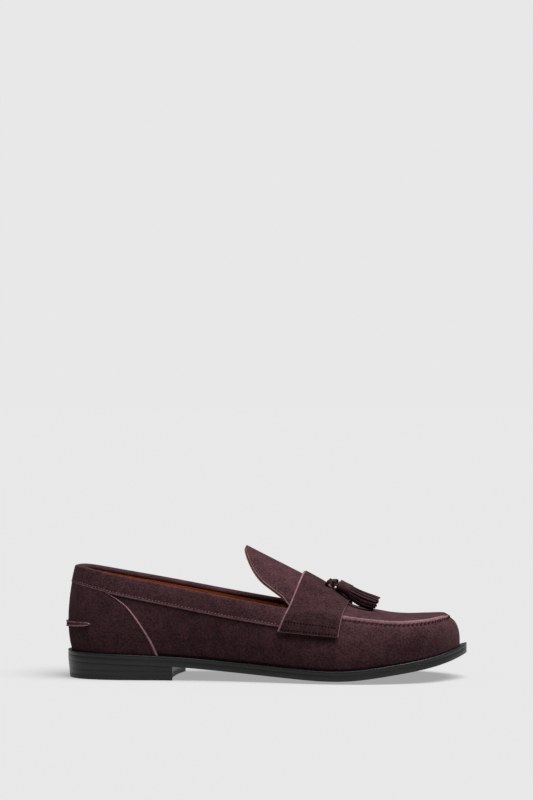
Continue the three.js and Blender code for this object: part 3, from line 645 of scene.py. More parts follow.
vamp = slab((SIDE_STEPS + FRONT_STEPS, WALL_STEPS + MARGIN_STEPS), vamp_point, ring=True)
piece("vamp_and_quarter_suede", vamp, [suede, raw_edge], stands_for=["vamp_and_quarters"])

# ---------------------------------------------------------------- linings and sock
# Tan calf lines the quarters and the vamp, skived thin where it meets the topline, and a tan
# calf sock covers the insole and rises a little over the heel cushion.

STIFFENER = 1.0
LINING = 0.9
INSOLE = 2
SOCK = 1.2
PASTE_GAP = 0.3                # left between pieces that are only pasted together
SKIVE = (2, 10)                # the quarter lining moves in between these depths below the topline
LINING_FACE = -(SUEDE + STIFFENER + 2 * PASTE_GAP)
SKIVED_FACE = -(SUEDE + 0.1)   # the lining lies straight on the suede at the topline
WALL_STACK = -LINING_FACE + LINING
RIM_STACK = -SKIVED_FACE + LINING

calf = mottled(
    "tan_calf", (0.3, 0.115, 0.034), (0.44, 0.185, 0.062), 14, 0.5, 0.05, 0.5, specular=0.35, share=0.4,
)
calf_cut = mottled("tan_calf_edge", (0.2, 0.09, 0.035), (0.3, 0.14, 0.06), 4, 0.4, 0.08, 0.8, specular=0.2)


def wall_patch(steps, first, last, low, high, outer, thickness):
    """A patch of the wall between two stations and two heights, its outer face at outer(t, s)."""
    def point(u, v, w):
        t = lerp(first, last, u)
        s = lerp(low(t), high(t), v)
        return wall_at(t, s, outer(t, s) - thickness * (1 - w))
    return slab(steps, point)


def quarter_face(t, s):
    """The quarter lining draws out to the suede over the last few millimetres below the topline."""
    down = (1 - s) * wall_curve(t)[1][-1]
    return lerp(SKIVED_FACE, LINING_FACE, smooth(down, *SKIVE))


def inner_foot(t):
    return run(t, SUEDE + INSOLE + 2 * PASTE_GAP)


LININGS_MEET = 12
VAMP_LINING_DOWN = 2.4         # how far it stops below the rim
quarter_end = station_at(LININGS_MEET)
LINING_JOINT = 0.0006          # share of the rim left open where the two linings meet
quarter_inside = wall_patch(
    (140, 40), -quarter_end, quarter_end, inner_foot, lambda t: 1, quarter_face, LINING,
)
piece(
    "quarter_calf", quarter_inside, [calf, calf_cut], stands_for=["quarter_lining"],
)
vamp_inside = wall_patch(
    (120, 12), quarter_end + LINING_JOINT, 1 - quarter_end - LINING_JOINT, inner_foot,
    lambda t: 1 - run(t, VAMP_LINING_DOWN), lambda t, s: LINING_FACE, LINING,
)
piece("vamp_calf", vamp_inside, [calf, calf_cut], stands_for=["vamp_lining"])

SOCK_BASE = SOLE_THICKNESS + WELT_THICKNESS + PASTE_GAP + SUEDE + PASTE_GAP + INSOLE + PASTE_GAP
HEEL_CUSHION = 2.7
CUSHION_END = (50, 84)         # it thins out between these distances from the back of the heel
SOCK_CLEAR = 0.8


def sock_height(x, v):
    pad = HEEL_CUSHION * (1 - smooth(x - sole_low.x, *CUSHION_END))
    return underside(x) + SOCK_BASE + 2 * PASTE_GAP + pad


sock = plate(
    lambda t: inset_edge(t, welt_reach(t) + WALL_STACK + SOCK_CLEAR),
    (110, 14),
    sock_height,
    lambda x, v: sock_height(x, v) + SOCK,
)
piece("sock_calf", sock, [calf, calf_cut], stands_for=["sock_lining"], bevel=0.3)

# ---------------------------------------------------------------- counter cover
# A suede cover is laid over the heel counter and sewn along its raw front edge, which curves
# from under the collar strip forwards and down to the welt.

OVERLAY = 1.2
COLLAR_DEPTH = 12.8
COLLAR_RISE = 1.4              # how much shallower the strip is at the back seam
COLLAR_EASE = 55               # how far from the back of the heel it is at its full depth
LAY = 0.05                     # a sewn piece lies this close to the one under it
cover_edge = height_through([
    (0, -69.4), (0.2, -73.5), (0.42, -80.5), (0.62, -89), (0.72, -97), (0.79, -107), (0.84, -119),
])


def collar_foot(t):
    depth = COLLAR_DEPTH - COLLAR_RISE * (1 - smooth(rim(t).x - sole_low.x, 0, COLLAR_EASE))
    return 1 - run(t, depth)


COVER_TOP = 0.83               # share of the wall that the cover reaches, just under the collar
COVER_ROWS = 30
COVER_LENGTH = 60              # from the back seam to its front edge, near enough
COVER_SUEDE = 0.9
COVER_BAND = 0.7               # width of the pale raw edge along its front
COVER_WORN = 0.5               # how much thinner it is at that edge
COVER_SEAM_IN = 0.0032         # how far behind that edge it is sewn, as a share of the rim
cover_ends = [station_at(cover_edge(COVER_TOP * i / COVER_ROWS)) for i in range(COVER_ROWS + 1)]


def cover_point(u, v, w):
    side = 2 * u - 1
    t = side * cover_ends[round(v * COVER_ROWS)]
    from_edge = (1 - abs(side)) * COVER_LENGTH
    face = COVER_SUEDE - COVER_WORN * (1 - smooth(from_edge, 0, COVER_BAND))
    return wall_at(t, max(COVER_TOP * v, run(t, 0.4)), LAY + face * w)


def closer(k, pull):
    """k from 0 to 1, respaced so that its steps are smaller at both ends."""
    return k - pull * sin(2 * pi * k) / (2 * pi)


cover = slab(
    (180, COVER_ROWS), cover_point, spread=lambda u, v: (closer(u, 0.75), v),
    cut=lambda u, v: (1 - abs(2 * u - 1)) * COVER_LENGTH < COVER_BAND,
)
piece("counter_suede", cover, [suede, raw_edge], stands_for=["counter_cover"], bevel=0.2)

# Near-black thread for the sunk seams: the thread's own dark burgundy, deepened as painted shade for the
# groove each stitch lies in.
thread = mottled(
    "burgundy_thread", (0.003, 0.0013, 0.0016), (0.009, 0.004, 0.0047), 2, 0.25, 0.08, 0.95, specular=0.02,
)


def spaced(path, pitch, count=400):
    """Places at an even pitch along path(k), k from 0 to 1, each with the direction of the path."""
    points = [path(i / count) for i in range(count + 1)]
    places = []
    gone, due = 0.0, pitch / 2
    for a, b in zip(points, points[1:]):
        length = (b - a).length
        while length and gone + length >= due:
            places.append((a.lerp(b, (due - gone) / length), (b - a).normalized()))
            due += pitch
        gone += length
    return places


def stitch_row(name, path, pitch, length, radius, finish, body="root", lean=None, stands_for=()):
    """A row of sewn stitches along a path; lean(direction) turns each one from the path's own."""
    bm = bmesh.new()
    for place, direction in spaced(path, pitch):
        facing = lean(direction) if lean else direction
        turn = facing.to_track_quat("Z", "Y").to_matrix().to_4x4()
        size = Matrix.Diagonal((radius, radius, length / 2, 1))
        bmesh.ops.create_uvsphere(
            bm, u_segments=6, v_segments=4, radius=1, matrix=Matrix.Translation(place) @ turn @ size,
        )
    for face in bm.faces:
        face.smooth = True
    return piece(name, bm, [finish], body=body, stands_for=stands_for)


def cover_seam(side):
    def path(k):
        s = (COVER_TOP - 0.02) * k + 0.01
        t = side * (station_at(cover_edge(s)) - COVER_SEAM_IN)
        return wall_at(t, s, LAY + COVER_SUEDE)
    return path


for side, word in ((1, "lateral"), (-1, "medial")):
    stitch_row(f"counter_stitches_{word}", cover_seam(side), 2.1, 1.5, 0.2, thread)

# ---------------------------------------------------------------- collar strip
# A strip of suede is folded over the topline, pasted down and sewn along its lower edge. Its
# ends run forward under the strap.

COLLAR_INSIDE = 1.4
STRAP_REAR = 25.2
COLLAR_BAND = 0.8              # width of the pale raw edge along its foot
COLLAR_WORN = 0.45             # how much thinner it is at that edge
COLLAR_OUTER = 0.5             # share of the strip that lies outside the topline
COLLAR_ROLL = 0.82             # share at which it has turned over the topline
FOLD_FLAT = 0.62               # how high the fold stands against a full round
TUCK = (9.5, 4.5)              # how far behind the strap's rear edge it ends, at its foot and top
COLLAR_SEAM_UP = 1.6


def collar_point(t, v, w):
    away = LAY + 0.02 + OVERLAY * w
    if v < COLLAR_OUTER:
        from_edge = COLLAR_DEPTH * v / COLLAR_OUTER
        away -= COLLAR_WORN * w * (1 - smooth(from_edge, 0, COLLAR_BAND))
        return wall_at(t, lerp(collar_foot(t), 1, v / COLLAR_OUTER), away)
    if v > COLLAR_ROLL:
        s = 1 - run(t, COLLAR_INSIDE) * (v - COLLAR_ROLL) / (1 - COLLAR_ROLL)
        return wall_at(t, s, -(RIM_STACK + away + 0.1))
    angle = pi * (v - COLLAR_OUTER) / (COLLAR_ROLL - COLLAR_OUTER)
    normal = wall_normal(t, 1)
    up = (wall(t, 1) - wall(t, 0.96)).normalized()
    centre = wall(t, 1) - normal * (RIM_STACK / 2 + 0.05 * (1 - cos(angle)) / 2)
    radius = RIM_STACK / 2 + away
    return centre + normal * (radius * cos(angle)) + up * (FOLD_FLAT * radius * sin(angle))


def collar_station(u, v):
    slant = min(v / COLLAR_OUTER, 1)
    end = station_at(STRAP_REAR - lerp(*TUCK, slant))
    return (2 * u - 1) * end


COLLAR_ROWS = 28
collar_stations = {}


def collar_corner(u, v, w):
    key = (round(u, 5), round(v, 5))
    if key not in collar_stations:
        collar_stations[key] = collar_station(u, v)
    return collar_point(collar_stations[key], v, w)


collar = slab(
    (260, COLLAR_ROWS), collar_corner, spread=lambda u, v: (u, v - 0.12 * sin(4 * pi * v) / pi),
    cut=lambda u, v: v / COLLAR_OUTER * COLLAR_DEPTH < COLLAR_BAND,
)
piece("collar_suede", collar, [suede, raw_edge], stands_for=["collar_strip"], bevel=0.2)


def collar_seam(k):
    t = (2 * k - 1) * station_at(STRAP_REAR - 12)
    return wall_at(t, collar_foot(t) + run(t, COLLAR_SEAM_UP), LAY + OVERLAY)


# A paler thread for the collar and tongue seams.
pale_thread = mottled(
    "pale_burgundy_thread", (0.07, 0.035, 0.04), (0.115, 0.06, 0.068), 2, 0.25, 0.08, 0.8, specular=0.15,
)
stitch_row("collar_stitches", collar_seam, 2.3, 1.3, 0.28, pale_thread)

# ---------------------------------------------------------------- heel tab
# A narrow strip of suede is sewn flat across the back seam, with both of its long edges raw.

TAB_LENGTH = 22                # from the back seam to each end
TAB_WIDTH = 3.6
TAB_SUEDE = 1.2
TAB_HEIGHT = 35.8
TAB_SUNK = 0.2                 # sewn down into the cover's nap
TAB_DOME = 0.4
TAB_TAPER = 0.3                # share of its width that it loses towards its ends
TAB_LIFT = 1.2                 # how much higher it sits at its ends
tab_end = station_at(sole_low.x + TAB_LENGTH)


def tab_point(u, v, w):
    side = 2 * u - 1
    t = side * tab_end
    half = TAB_WIDTH / 2 * (1 - TAB_TAPER * side ** 2)
    rounded = half * sqrt(max(1 - abs(side) ** 14, 0.02))
    height = TAB_HEIGHT + TAB_LIFT * abs(side) + lerp(-rounded, rounded, v)
    dome = TAB_DOME * (1 - (2 * v - 1) ** 2)
    s = last_below(height, lambda s: wall(t, s).z, 0, 1)
    return wall_at(t, s, LAY + OVERLAY - TAB_SUNK + (TAB_SUEDE + 0.3 - dome) * w)


tab = slab((70, 12), tab_point, cut=lambda u, v: abs(2 * v - 1) > 0.4)
piece("heel_tab_suede", tab, [suede, raw_edge], stands_for=["heel_tab"], bevel=0.15)

# ---------------------------------------------------------------- apron
# The apron is a thick piece of suede let into the top of the vamp. Its cut edge stands up from
# the seam as a pale band, and whip stitches pull the vamp's rim in under it.

APRON = 1.9
APRON_REAR = 38
APRON_FADE = 14                # how far behind the apron the strap comes down to the rim
TOE_END = rim(0.5).x
TOE_SETTLE = (4, 0.45)         # over its last millimetres the edge loses this share of its height
ARCH_LOW = (0.75, 0.52)        # share of the width and of the rise that shape the arch's shoulder
ARCH_HIGH = 0.42
LINED_SHARE = 0.72
RIDGE = [
    (0.0185, 79.6), (0.096, 69), (0.148, 61), (0.185, 54.2), (0.211, 49.3), (0.244, 46.4),
    (0.28, 44.9), (0.31, 43.1), (0.359, 42), (0.407, 42.3), (0.437, 42.5), (0.459, 42.6),
]
ridge_by_share = height_through(RIDGE)


def ridge_height(x):
    return ridge_by_share(x / LENGTH)


def apron_rise(x):
    """How far the apron stands up from the rim; it settles at the toe and fades behind the apron."""
    length, share = TOE_SETTLE
    level = 1 - share * smooth(x, TOE_END - length, TOE_END)
    return level * (APRON + PASTE_GAP) * smooth(x, APRON_REAR - APRON_FADE, APRON_REAR)


def arch(t, v):
    """The instep and apron, from the lateral rim (v = -1) over the ridge to the medial one."""
    edge = rim(t if v < 0 else 1 - t)
    edge.z += apron_rise(edge.x)
    ridge = Vector((edge.x, 0, max(ridge_height(edge.x), edge.z)))
    rise = ridge.z - edge.z
    low = Vector((edge.x, edge.y * ARCH_LOW[0], edge.z + ARCH_LOW[1] * rise))
    high = Vector((edge.x, edge.y * ARCH_HIGH, ridge.z))
    return bezier((edge, low, high, ridge), 1 - abs(v))


def arch_at(t, v, offset):
    def spread(a, b):
        return arch(clamp(a, 0.01, 0.4999), b)
    return arch(t, v) + normal_of(spread, t, v, 0.002, 0.03, -1, 1) * offset


apron_start = station_at(APRON_REAR)


def apron_point(u, v, w):
    corner = arch(lerp(apron_start, 0.5, u), 2 * v - 1)
    corner.z -= (APRON + PASTE_GAP - LAY) * (1 - w)
    return corner


# The apron's cut edge is paler suede, and this finish is also painted brighter than the other raw edges as
# a highlight along the seam's top.
seam_edge_and_highlight = mottled(
    "pale_seam_edge", (0.13, 0.065, 0.074), (0.22, 0.12, 0.132), 3, 0.5, 0.15, 0.95, specular=0.05,
)
SEAM_BAND = 0.007              # share of the apron's width that the pale edge takes on each side
apron = slab(
    (130, 70), apron_point, spread=lambda u, v: (u, closer(v, 0.85)),
    cut=lambda u, v: min(v, 1 - v) < SEAM_BAND,
)
piece("apron_suede", apron, [suede, seam_edge_and_highlight], stands_for=["apron"], bevel=0.3)

apron_lining_end = station_at(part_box("apron_lining")[1].x / MM)


def apron_lining_point(u, v, w):
    corner = arch(lerp(apron_start, apron_lining_end, u), (2 * v - 1) * LINED_SHARE)
    corner.z -= APRON + PASTE_GAP + LINING * (1 - w)
    return corner


apron_inside = slab((60, 24), apron_lining_point)
piece("apron_calf", apron_inside, [calf, calf_cut], stands_for=["apron_lining"])


WHIP_DOWN = 1.0
WHIP_LEAN = 0.55


def whip_path(k):
    t = lerp(SEAM_STATIONS[0], SEAM_STATIONS[-1], k)
    return wall_at(t, 1 - run(t, WHIP_DOWN), 0.1)


def whip_lean(direction):
    return (direction * WHIP_LEAN + Vector((0, 0, 1))).normalized()


# The whip stitches take the same near-black thread, which also paints the scalloped shade under the
# apron's seam.
stitch_row(
    "apron_whip_stitches", whip_path, GATHER_PITCH, 2.6, 0.32, thread, lean=whip_lean,
    stands_for=["apron_thread"],
)

# ---------------------------------------------------------------- strap
# A wide suede strap lies over the instep on a thin backing. Both have raw edges, the hems are
# sewn through, and a rounded slot across the ridge lets the thong through.

STRAP_SKIN = 1.2
STRAP_BACKING = 0.8
STRAP_FRONT = 56.1
STRAP_HEM = 32.2
HEM_SLOPE = 0.08
REAR_CURVE = 12.4
FRONT_CURVE = 2.6
FRONT_STRAIGHT = 22
HEM_RUN = 57
SLOT_LENGTH = 22
SLOT_WIDTH = 4.4
SLOT_AT = 41.7
STRAP_FACE = 0.6
SKIN_FACE = STRAP_FACE + STRAP_BACKING + 0.45
ARCH_STEPS = 28
SIDE_WALL_STEPS = 36


def section_line(x, side, offset):
    """One side of the shoe's section at x, from the ridge down to the welt."""
    t = station_at(x)
    station = t if side < 0 else 1 - t
    points = [arch_at(t, side * i / ARCH_STEPS, offset) for i in range(ARCH_STEPS + 1)]
    for i in range(1, SIDE_WALL_STEPS + 1):
        s = 1 - i / SIDE_WALL_STEPS
        clear = apron_rise(rim(station).x) * smooth(s, 0.6, 1)
        points.append(wall_at(station, s, offset + clear))
    runs = [0.0]
    for a, b in zip(points, points[1:]):
        runs.append(runs[-1] + (b - a).length)
    return points, runs


section_lines = {}


def section_point(x, side, offset, z, reach):
    """A point at a share of the way from the ridge down to height z, on the section at x."""
    key = (x, side, offset)
    if key not in section_lines:
        section_lines[key] = section_line(x, side, offset)
    points, runs = section_lines[key]
    n = next(n for n, point in enumerate(points) if point.z < z)
    k = (points[n - 1].z - z) / (points[n - 1].z - points[n].z)
    goal = lerp(runs[n - 1], runs[n], k) * reach
    m = 1
    while runs[m] < goal:
        m += 1
    return points[m - 1].lerp(points[m], (goal - runs[m - 1]) / (runs[m] - runs[m - 1]))


def strap_at(a, b, offset):
    """A point of the strap: a from its rear edge to its front edge, b from hem to hem."""
    side = -1 if b < 0 else 1
    q = abs(b) * HEM_RUN
    rear = STRAP_REAR - REAR_CURVE * (q / HEM_RUN) ** 2
    curved = max(q - FRONT_STRAIGHT, 0) / (HEM_RUN - FRONT_STRAIGHT)
    front = STRAP_FRONT - FRONT_CURVE * curved ** 1.7
    x = lerp(rear, front, a)
    z = STRAP_HEM + HEM_SLOPE * (SLOT_AT - 10 - x)
    i = int(x)
    before = section_point(i, side, offset, z, abs(b))
    after = section_point(i + 1, side, offset, z, abs(b))
    return before.lerp(after, x - i)


STRAP_ACROSS = 42
STRAP_ALONG = 130
STRAP_BAND = 0.9               # width of the pale raw edge, rounded over to the backing
FRONT_BAND = 6                 # how much narrower that edge is in front, and at the hems; narrow in front as painted shade, so the strap's front cut edge stays suede-dark
HEM_BAND = 2
STRAP_WORN = 0.7
BACKING_TRIM = 0.03            # share of the strap by which the backing is cut short
BACKING_SPARE = 0.4
strap_wide = STRAP_FRONT - STRAP_REAR


def strap_place(u, v, trim):
    """Grid place to strap place, with the grid's lines drawn together at the edges."""
    return lerp(trim, 1 - trim, u), (2 * v - 1) * (1 - trim)


def strap_layer(inner, outer, trim, spare, rounding):
    """A layer of the strap with its slot open, spare wider all round than the thong's slot."""
    slot_a = (SLOT_AT - STRAP_REAR) / strap_wide

    def hole(u, v):
        a, b = strap_place(u, v, trim)
        wide = (SLOT_WIDTH / 2 + spare) / strap_wide
        long = (SLOT_LENGTH / 2 + spare) / HEM_RUN
        return ((a - slot_a) / wide) ** 2 < 1 - (abs(b) / long) ** 8

    def edge_distance(a, b):
        front, hem = (1 - a) * strap_wide, (1 - abs(b)) * HEM_RUN
        return min(a * strap_wide, front * FRONT_BAND, hem * HEM_BAND)

    def point(u, v, w):
        a, b = strap_place(u, v, trim)
        worn = rounding * (1 - smooth(edge_distance(a, b), 0, STRAP_BAND)) * w
        return strap_at(a, b, lerp(inner, outer, w) - worn)
    return slab(
        (STRAP_ACROSS, STRAP_ALONG), point, spread=lambda u, v: (closer(u, 0.7), closer(v, 0.5)),
        cut=lambda u, v: edge_distance(*strap_place(u, v, trim)) < STRAP_BAND, hole=hole,
    )


backing = strap_layer(STRAP_FACE, STRAP_FACE + STRAP_BACKING, BACKING_TRIM, BACKING_SPARE, 0)
piece(
    "strap_backing_suede", backing, [raw_edge, raw_edge], stands_for=["strap_backing"],
    bevel=0.15,
)
STRAP_TOP = SKIN_FACE + STRAP_SKIN
strap = strap_layer(SKIN_FACE - 0.4, STRAP_TOP, 0, 0, STRAP_WORN)
# Painted shade: the strap is cut from the same suede as the vamp, and this copy is darkened so that the
# strap's upturned face comes out as dark as the rest.
shaded_suede = mottled(
    "burgundy_suede_painted_shade", (0.008, 0.0032, 0.0038), (0.026, 0.0106, 0.0126), 8, 1.15, 0.3, 0.95,
    specular=0.05, share=0.7,
)
piece("strap_suede", strap, [shaded_suede, raw_edge], stands_for=["strap"], bevel=0.25)

ROW_ENDS = (0.05, 0.955)       # shares of the strap between which its rows are sewn


def strap_row(side, up):
    """A row of stitches across the strap, a distance up from its hem."""
    def path(k):
        return strap_at(lerp(*ROW_ENDS, k), side * (1 - up / HEM_RUN), STRAP_TOP)
    return path


for side, word in ((-1, "lateral"), (1, "medial")):
    for row, up in (("hem", 1.9), ("upper", 6.8)):
        stitch_row(f"strap_{row}_stitches_{word}", strap_row(side, up), 2.1, 1.5, 0.42, thread)

# ---------------------------------------------------------------- tongue
# A high round tongue of suede, lined with tan calf and sewn round its edge, rises backwards from
# under the strap.

TONGUE_LENGTH = 42.2
TONGUE_ROUND = 26
TONGUE_HALF = 27.5
TONGUE_RADIUS = 36
TONGUE_LINING = 0.9
TONGUE_HIDDEN = 8              # how far it runs on under the strap
TONGUE_BAND = 0.4              # width of its pale raw edge
TONGUE_WIDENS = 0.0077         # share by which each side widens with each millimetre from the tip
TONGUE_PULL = 1.7              # rows draw together towards the tip
TONGUE_LINING_OUT = 0.5        # how far the lining shows past the suede at the sides
TONGUE_SEAM_IN = 1.9
SLOPE_FROM, SLOPE_TO = 5, 26   # the ridge's slope is taken between these
tongue_slope = atan2(ridge_height(SLOPE_FROM) - ridge_height(SLOPE_TO), SLOPE_TO - SLOPE_FROM)
tongue_root = Vector((STRAP_REAR - 0.4, 0, ridge_height(STRAP_REAR) + 0.4))
tongue_back = Vector((-cos(tongue_slope), 0, sin(tongue_slope)))
tongue_over = Vector((sin(tongue_slope), 0, cos(tongue_slope)))


def tongue_half(from_tip):
    rounding = 1 - min(from_tip / TONGUE_ROUND, 1)
    return TONGUE_HALF * sqrt(max(1 - rounding ** 2, 0)) * (1 + TONGUE_WIDENS * from_tip)


def tongue_at(from_tip, across, offset, wider=0):
    """A point of the tongue: from its tip, across it from -1 to 1, and up from its upper face."""
    angle = across * (tongue_half(from_tip) + wider) / TONGUE_RADIUS
    radius = TONGUE_RADIUS + offset
    return (
        tongue_root
        + tongue_back * (TONGUE_LENGTH - from_tip)
        + tongue_over * (radius * cos(angle) - TONGUE_RADIUS)
        + Vector((0, radius * sin(angle), 0))
    )


def under_strap(point, offset, hold):
    """Holds a point of the tongue's hidden end down under the strap's backing, by a share hold."""
    x = clamp(point.x, STRAP_REAR - 14, STRAP_REAR + 14)
    line, _ = section_line(x, -1 if point.y < 0 else 1, 0)
    reach = abs(point.y)
    n = next((n for n, corner in enumerate(line) if abs(corner.y) >= reach), len(line) - 1)
    before, after = line[max(n - 1, 0)], line[n]
    gap = abs(after.y) - abs(before.y)
    k = clamp((reach - abs(before.y)) / gap, 0, 1) if gap > 1e-6 else 0
    ceiling = lerp(before.z, after.z, k) + offset + 0.2
    point.z = lerp(point.z, min(point.z, ceiling), hold)
    return point


def tongue_row(u):
    """Distance from the tip of a row of the tongue's grid."""
    return (TONGUE_LENGTH + TONGUE_HIDDEN) * (1 - u) ** TONGUE_PULL


def tongue_layer(outer, thickness, wider):
    """A layer of the tongue, wider than the suede at each side away from the tip."""
    def point(u, v, w):
        from_tip = tongue_row(u)
        offset = outer - thickness * (1 - w)
        corner = tongue_at(from_tip, 2 * v - 1, offset, wider * smooth(from_tip, 4, 18))
        hold = smooth(from_tip, TONGUE_LENGTH - 3, TONGUE_LENGTH + 4)
        return under_strap(corner, offset, hold) if hold else corner

    def cut(u, v):
        return (1 - abs(2 * v - 1)) * tongue_half(tongue_row(u)) < TONGUE_BAND
    return slab((58, 60), point, spread=lambda u, v: (u, closer(v, 0.55)), cut=cut)


def bend_tongue(made):
    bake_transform(made)


tongue = piece(
    "tongue_suede", tongue_layer(0, SUEDE, 0), [suede, raw_edge], body=None, stands_for=["tongue"],
    bevel=0.25,
)
bend_tongue(tongue)
tongue_inside = piece(
    "tongue_calf", tongue_layer(-SUEDE - LAY, TONGUE_LINING, TONGUE_LINING_OUT), [calf, calf_cut],
    body=None, stands_for=["tongue_lining"], bevel=0.2,
)
bend_tongue(tongue_inside)


def tongue_seam(k):
    """The seam's path: down one side from the strap, round the tip and back up the other."""
    across = 2 * k - 1
    reach = 1 - (1 - abs(across)) ** 2
    from_tip = TONGUE_SEAM_IN + (TONGUE_LENGTH - 5) * reach ** 1.6
    half = tongue_half(from_tip)
    inner = 1 - TONGUE_SEAM_IN / half * smooth(abs(across), 0.02, 0.3) if half > 2 else 0
    side = 1 if across > 0 else -1
    return tongue_at(from_tip, side * inner * smooth(abs(across), 0, 0.04), 0.02)


sewn = stitch_row("tongue_stitches", tongue_seam, 2.2, 1.3, 0.22, pale_thread, body=None)
bend_tongue(sewn)

# ---------------------------------------------------------------- tassels
# Two rolled leather tassels hang from a thong that comes up through the slot and is knotted
# behind each one. A tassel is a strip cut into strands, rolled up inside a leather cap.

tassel_leather = mottled(
    "tassel_leather", (0.0095, 0.0037, 0.0046), (0.028, 0.0112, 0.0135), 5, 0.9, 0.12, 0.85,
    specular=0.06,
)
thong_low, thong_high = [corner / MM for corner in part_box("tassel_thong")]
SLOT_SIDE = 8                  # the slope at the slot is taken this far on either side of it
slot_rise = ridge_height(SLOT_AT + SLOT_SIDE) - ridge_height(SLOT_AT - SLOT_SIDE)
slot_slope = atan2(slot_rise, 2 * SLOT_SIDE)
TASSEL_LEAN = 0.81             # how much of the slope of the strap the tassels follow
NECK_FORWARD = 7.6
NECK_CLEAR = 4.4
lean = -slot_slope * TASSEL_LEAN
along_tassel = Vector((cos(lean), 0, -sin(lean)))
TASSEL_SPREAD = 7
CAP_RADIUS = 3.35
CAP_LENGTH = 9.4
CAP_WALL = 0.9
FRINGE_LENGTH = 20
KNOT_RADIUS = 2.4
THONG = 1.8
STRAND_WIDTH = 1.35
STRAND_THICKNESS = 0.95
STRAND_HIDDEN = 3              # how far the strands run up inside the cap
SAG = 2.6                      # how far the lowest strands hang below a straight line
KNOT_CORD = 0.92               # radius of the cord in the knot, and of its two ends
KNOT_END = 0.85
KNOT_TAIL = 3.6                # how far its ends reach from its middle

# Rings of strands: how many, how far out they start, how far they spread, and their first turn.
STRAND_RINGS = ((10, 2.55, 1.15, 0), (5, 1.1, 0.8, 0.3))


def turned(profile, steps):
    """A closed outline of (radius, height) turned once about Z, its cut ends taking finish 1."""
    bm = bmesh.new()
    verts = [bm.verts.new((r, 0, z)) for r, z in profile]
    edges = [bm.edges.new((a, b)) for a, b in zip(verts, verts[1:] + verts[:1])]
    bmesh.ops.spin(
        bm, geom=verts + edges, cent=(0, 0, 0), axis=(0, 0, 1), angle=2 * pi, steps=steps, use_merge=True,
    )
    bmesh.ops.remove_doubles(bm, verts=bm.verts, dist=0.001)
    bmesh.ops.recalc_face_normals(bm, faces=bm.faces)
    for face in bm.faces:
        face.smooth = True
        face.material_index = int(abs(face.normal.z) > 0.7)
    return bm


def strip(bm, path, width, thickness, face_out, steps=14):
    """A flat strand along path(k), its broad face turned towards face_out(k)."""
    flat = bmesh.ops.create_grid(bm, x_segments=steps, y_segments=1, size=0.5)["verts"]
    faces = list({face for vert in flat for face in vert.link_faces})
    raised = bmesh.ops.extrude_face_region(bm, geom=faces)["geom"]
    top = [made for made in raised if isinstance(made, bmesh.types.BMVert)]
    bmesh.ops.translate(bm, vec=(0, 0, 1), verts=top)
    for vert in set(flat) | set(top):
        if not vert.is_valid:
            continue
        k, across, w = vert.co.x + 0.5, vert.co.y, vert.co.z
        here = path(k)
        ahead = (path(k + 0.01) - path(k - 0.01)).normalized()
        out = face_out(k)
        out = (out - ahead * out.dot(ahead)).normalized()
        vert.co = here + ahead.cross(out) * (across * width) + out * ((w - 0.5) * thickness)


def tube(bm, path, radius, sides, steps):
    """A closed round cord along path(k), k from 0 to 1."""
    rings = []
    for i in range(steps + 1):
        k = i / steps
        ahead = (path(k + 0.004) - path(k - 0.004)).normalized()
        turn = ahead.to_track_quat("Z", "Y").to_matrix().to_4x4()
        place = Matrix.Translation(path(k)) @ turn
        made = bmesh.ops.create_circle(
            bm, cap_ends=i in (0, steps), segments=sides, radius=radius, matrix=place,
        )["verts"]
        edges = {edge for vert in made for edge in vert.link_edges if edge.other_vert(vert) in made}
        rings.append(list(edges))
    for a, b in zip(rings, rings[1:]):
        bmesh.ops.bridge_loops(bm, edges=a + b)


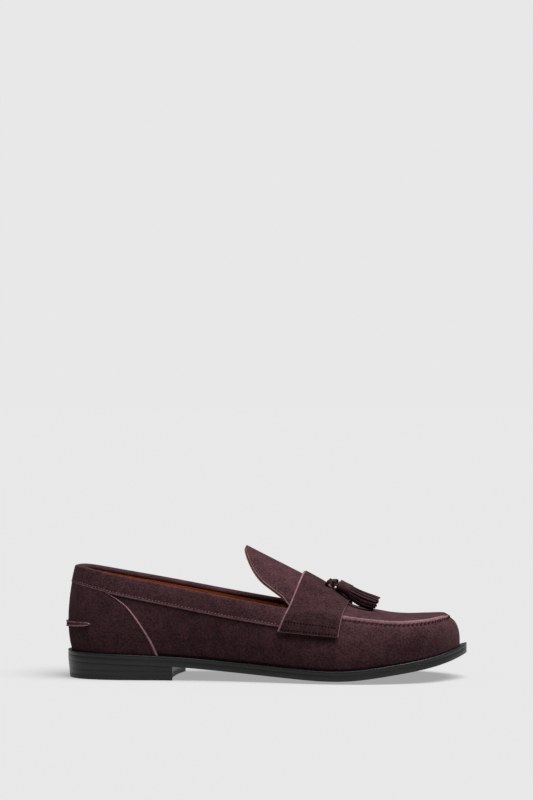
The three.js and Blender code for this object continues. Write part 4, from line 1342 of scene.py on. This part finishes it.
def make_tassel(word, side):
    """A tassel, its knot and its swing, on the lateral (-1) or the medial (1) side of the ridge."""
    neck_height = ridge_height(SLOT_AT + NECK_FORWARD) + STRAP_TOP + NECK_CLEAR
    neck = Vector((SLOT_AT + NECK_FORWARD, side * TASSEL_SPREAD, neck_height))
    turn = along_tassel.to_track_quat("Z", "Y").to_matrix().to_4x4()
    place = Matrix.Translation(neck) @ turn

    bore = CAP_RADIUS - CAP_WALL
    cap = turned([
        (bore, 0.2), (CAP_RADIUS - 0.9, 0), (CAP_RADIUS - 0.25, 0.1), (CAP_RADIUS, 0.6),
        (CAP_RADIUS - 0.1, CAP_LENGTH * 0.5), (CAP_RADIUS, CAP_LENGTH - 0.3),
        (CAP_RADIUS - 0.15, CAP_LENGTH), (bore, CAP_LENGTH), (bore, CAP_LENGTH / 2),
    ], 40)
    bmesh.ops.transform(cap, matrix=place, verts=cap.verts)
    piece(
        f"{word}_tassel_cap_leather", cap, [tassel_leather, raw_edge], body=f"{word}_tassel",
        stands_for=[f"{word}_tassel_cap"],
    )

    fringe = bmesh.new()
    for count, radius, flare, start in STRAND_RINGS:
        for i in range(count):
            angle = 2 * pi * (i + start) / count
            sway = 0.45 * sin(5.3 * i + 2.1 * side)
            droop = 0.5 * sin(3.7 * i + 0.8)
            length = FRINGE_LENGTH * (0.97 + 0.03 * sin(2.9 * i + side))

            def strand(k, angle=angle, radius=radius, flare=flare, sway=sway, droop=droop, length=length):
                spread = radius + flare * smooth(k, 0.2, 1) - 0.25 * sin(pi * k)
                turned_by = angle + 0.12 * sway * k
                hang = SAG * sin(pi * k) * (1 - sin(angle)) / 2
                return Vector((
                    spread * cos(turned_by) + sway * k ** 2 * 0.6,
                    spread * sin(turned_by) + droop * k ** 2 * 0.6 - hang,
                    CAP_LENGTH - STRAND_HIDDEN + (length + STRAND_HIDDEN) * k,
                ))

            def out(k, angle=angle):
                return Vector((cos(angle), sin(angle), 0))
            strip(fringe, strand, STRAND_WIDTH, STRAND_THICKNESS, out)
    bmesh.ops.recalc_face_normals(fringe, faces=fringe.faces)
    for face in fringe.faces:
        face.material_index = 0
    bmesh.ops.transform(fringe, matrix=place, verts=fringe.verts)
    piece(
        f"{word}_tassel_strands", fringe, [tassel_leather, raw_edge], body=f"{word}_tassel",
        stands_for=[f"{word}_tassel_fringe"], bevel=0.12,
    )

    knot = bmesh.new()
    middle = neck - along_tassel * (KNOT_RADIUS * 1.15 + PASTE_GAP)

    def loop(k):
        a = 2 * pi * k
        size = KNOT_RADIUS * 0.27
        flat = Vector((sin(a) + 2 * sin(2 * a), cos(a) - 2 * cos(2 * a), -1.5 * sin(3 * a))) * size
        return middle + turn.to_3x3() @ Vector((flat.z, flat.x * 0.9, flat.y * 0.9))
    tube(knot, loop, KNOT_CORD, 8, 60)
    for start, end in ((-0.6, -4.2), (0.6, KNOT_TAIL)):
        def tail(k, start=start, end=end):
            return middle + along_tassel * lerp(start, end, k)
        tube(knot, tail, KNOT_END, 8, 6)
    bmesh.ops.remove_doubles(knot, verts=knot.verts, dist=0.001)
    bmesh.ops.recalc_face_normals(knot, faces=knot.faces)
    for face in knot.faces:
        face.smooth = True
    piece(
        f"{word}_tassel_knot_leather", knot, [tassel_leather], body=f"{word}_knot",
        stands_for=[f"{word}_tassel_knot"],
    )
    return middle


knots = [make_tassel("lateral", -1), make_tassel("medial", 1)]

thong = bmesh.new()
thong_floor = (thong_low.z + thong_high.z) / 2
for middle in knots:
    root_end = middle - along_tassel * KNOT_TAIL

    def rising(k, root_end=root_end):
        low = Vector((SLOT_AT, 0, thong_floor))
        bend = Vector((SLOT_AT, root_end.y, thong_floor))
        return bezier((low, low.lerp(bend, 0.9), bend, root_end), k)
    tube(thong, rising, THONG / 2 - LAY, 10, 16)
bmesh.ops.recalc_face_normals(thong, faces=thong.faces)
for face in thong.faces:
    face.smooth = True
piece("thong_leather", thong, [tassel_leather], stands_for=["tassel_thong"])
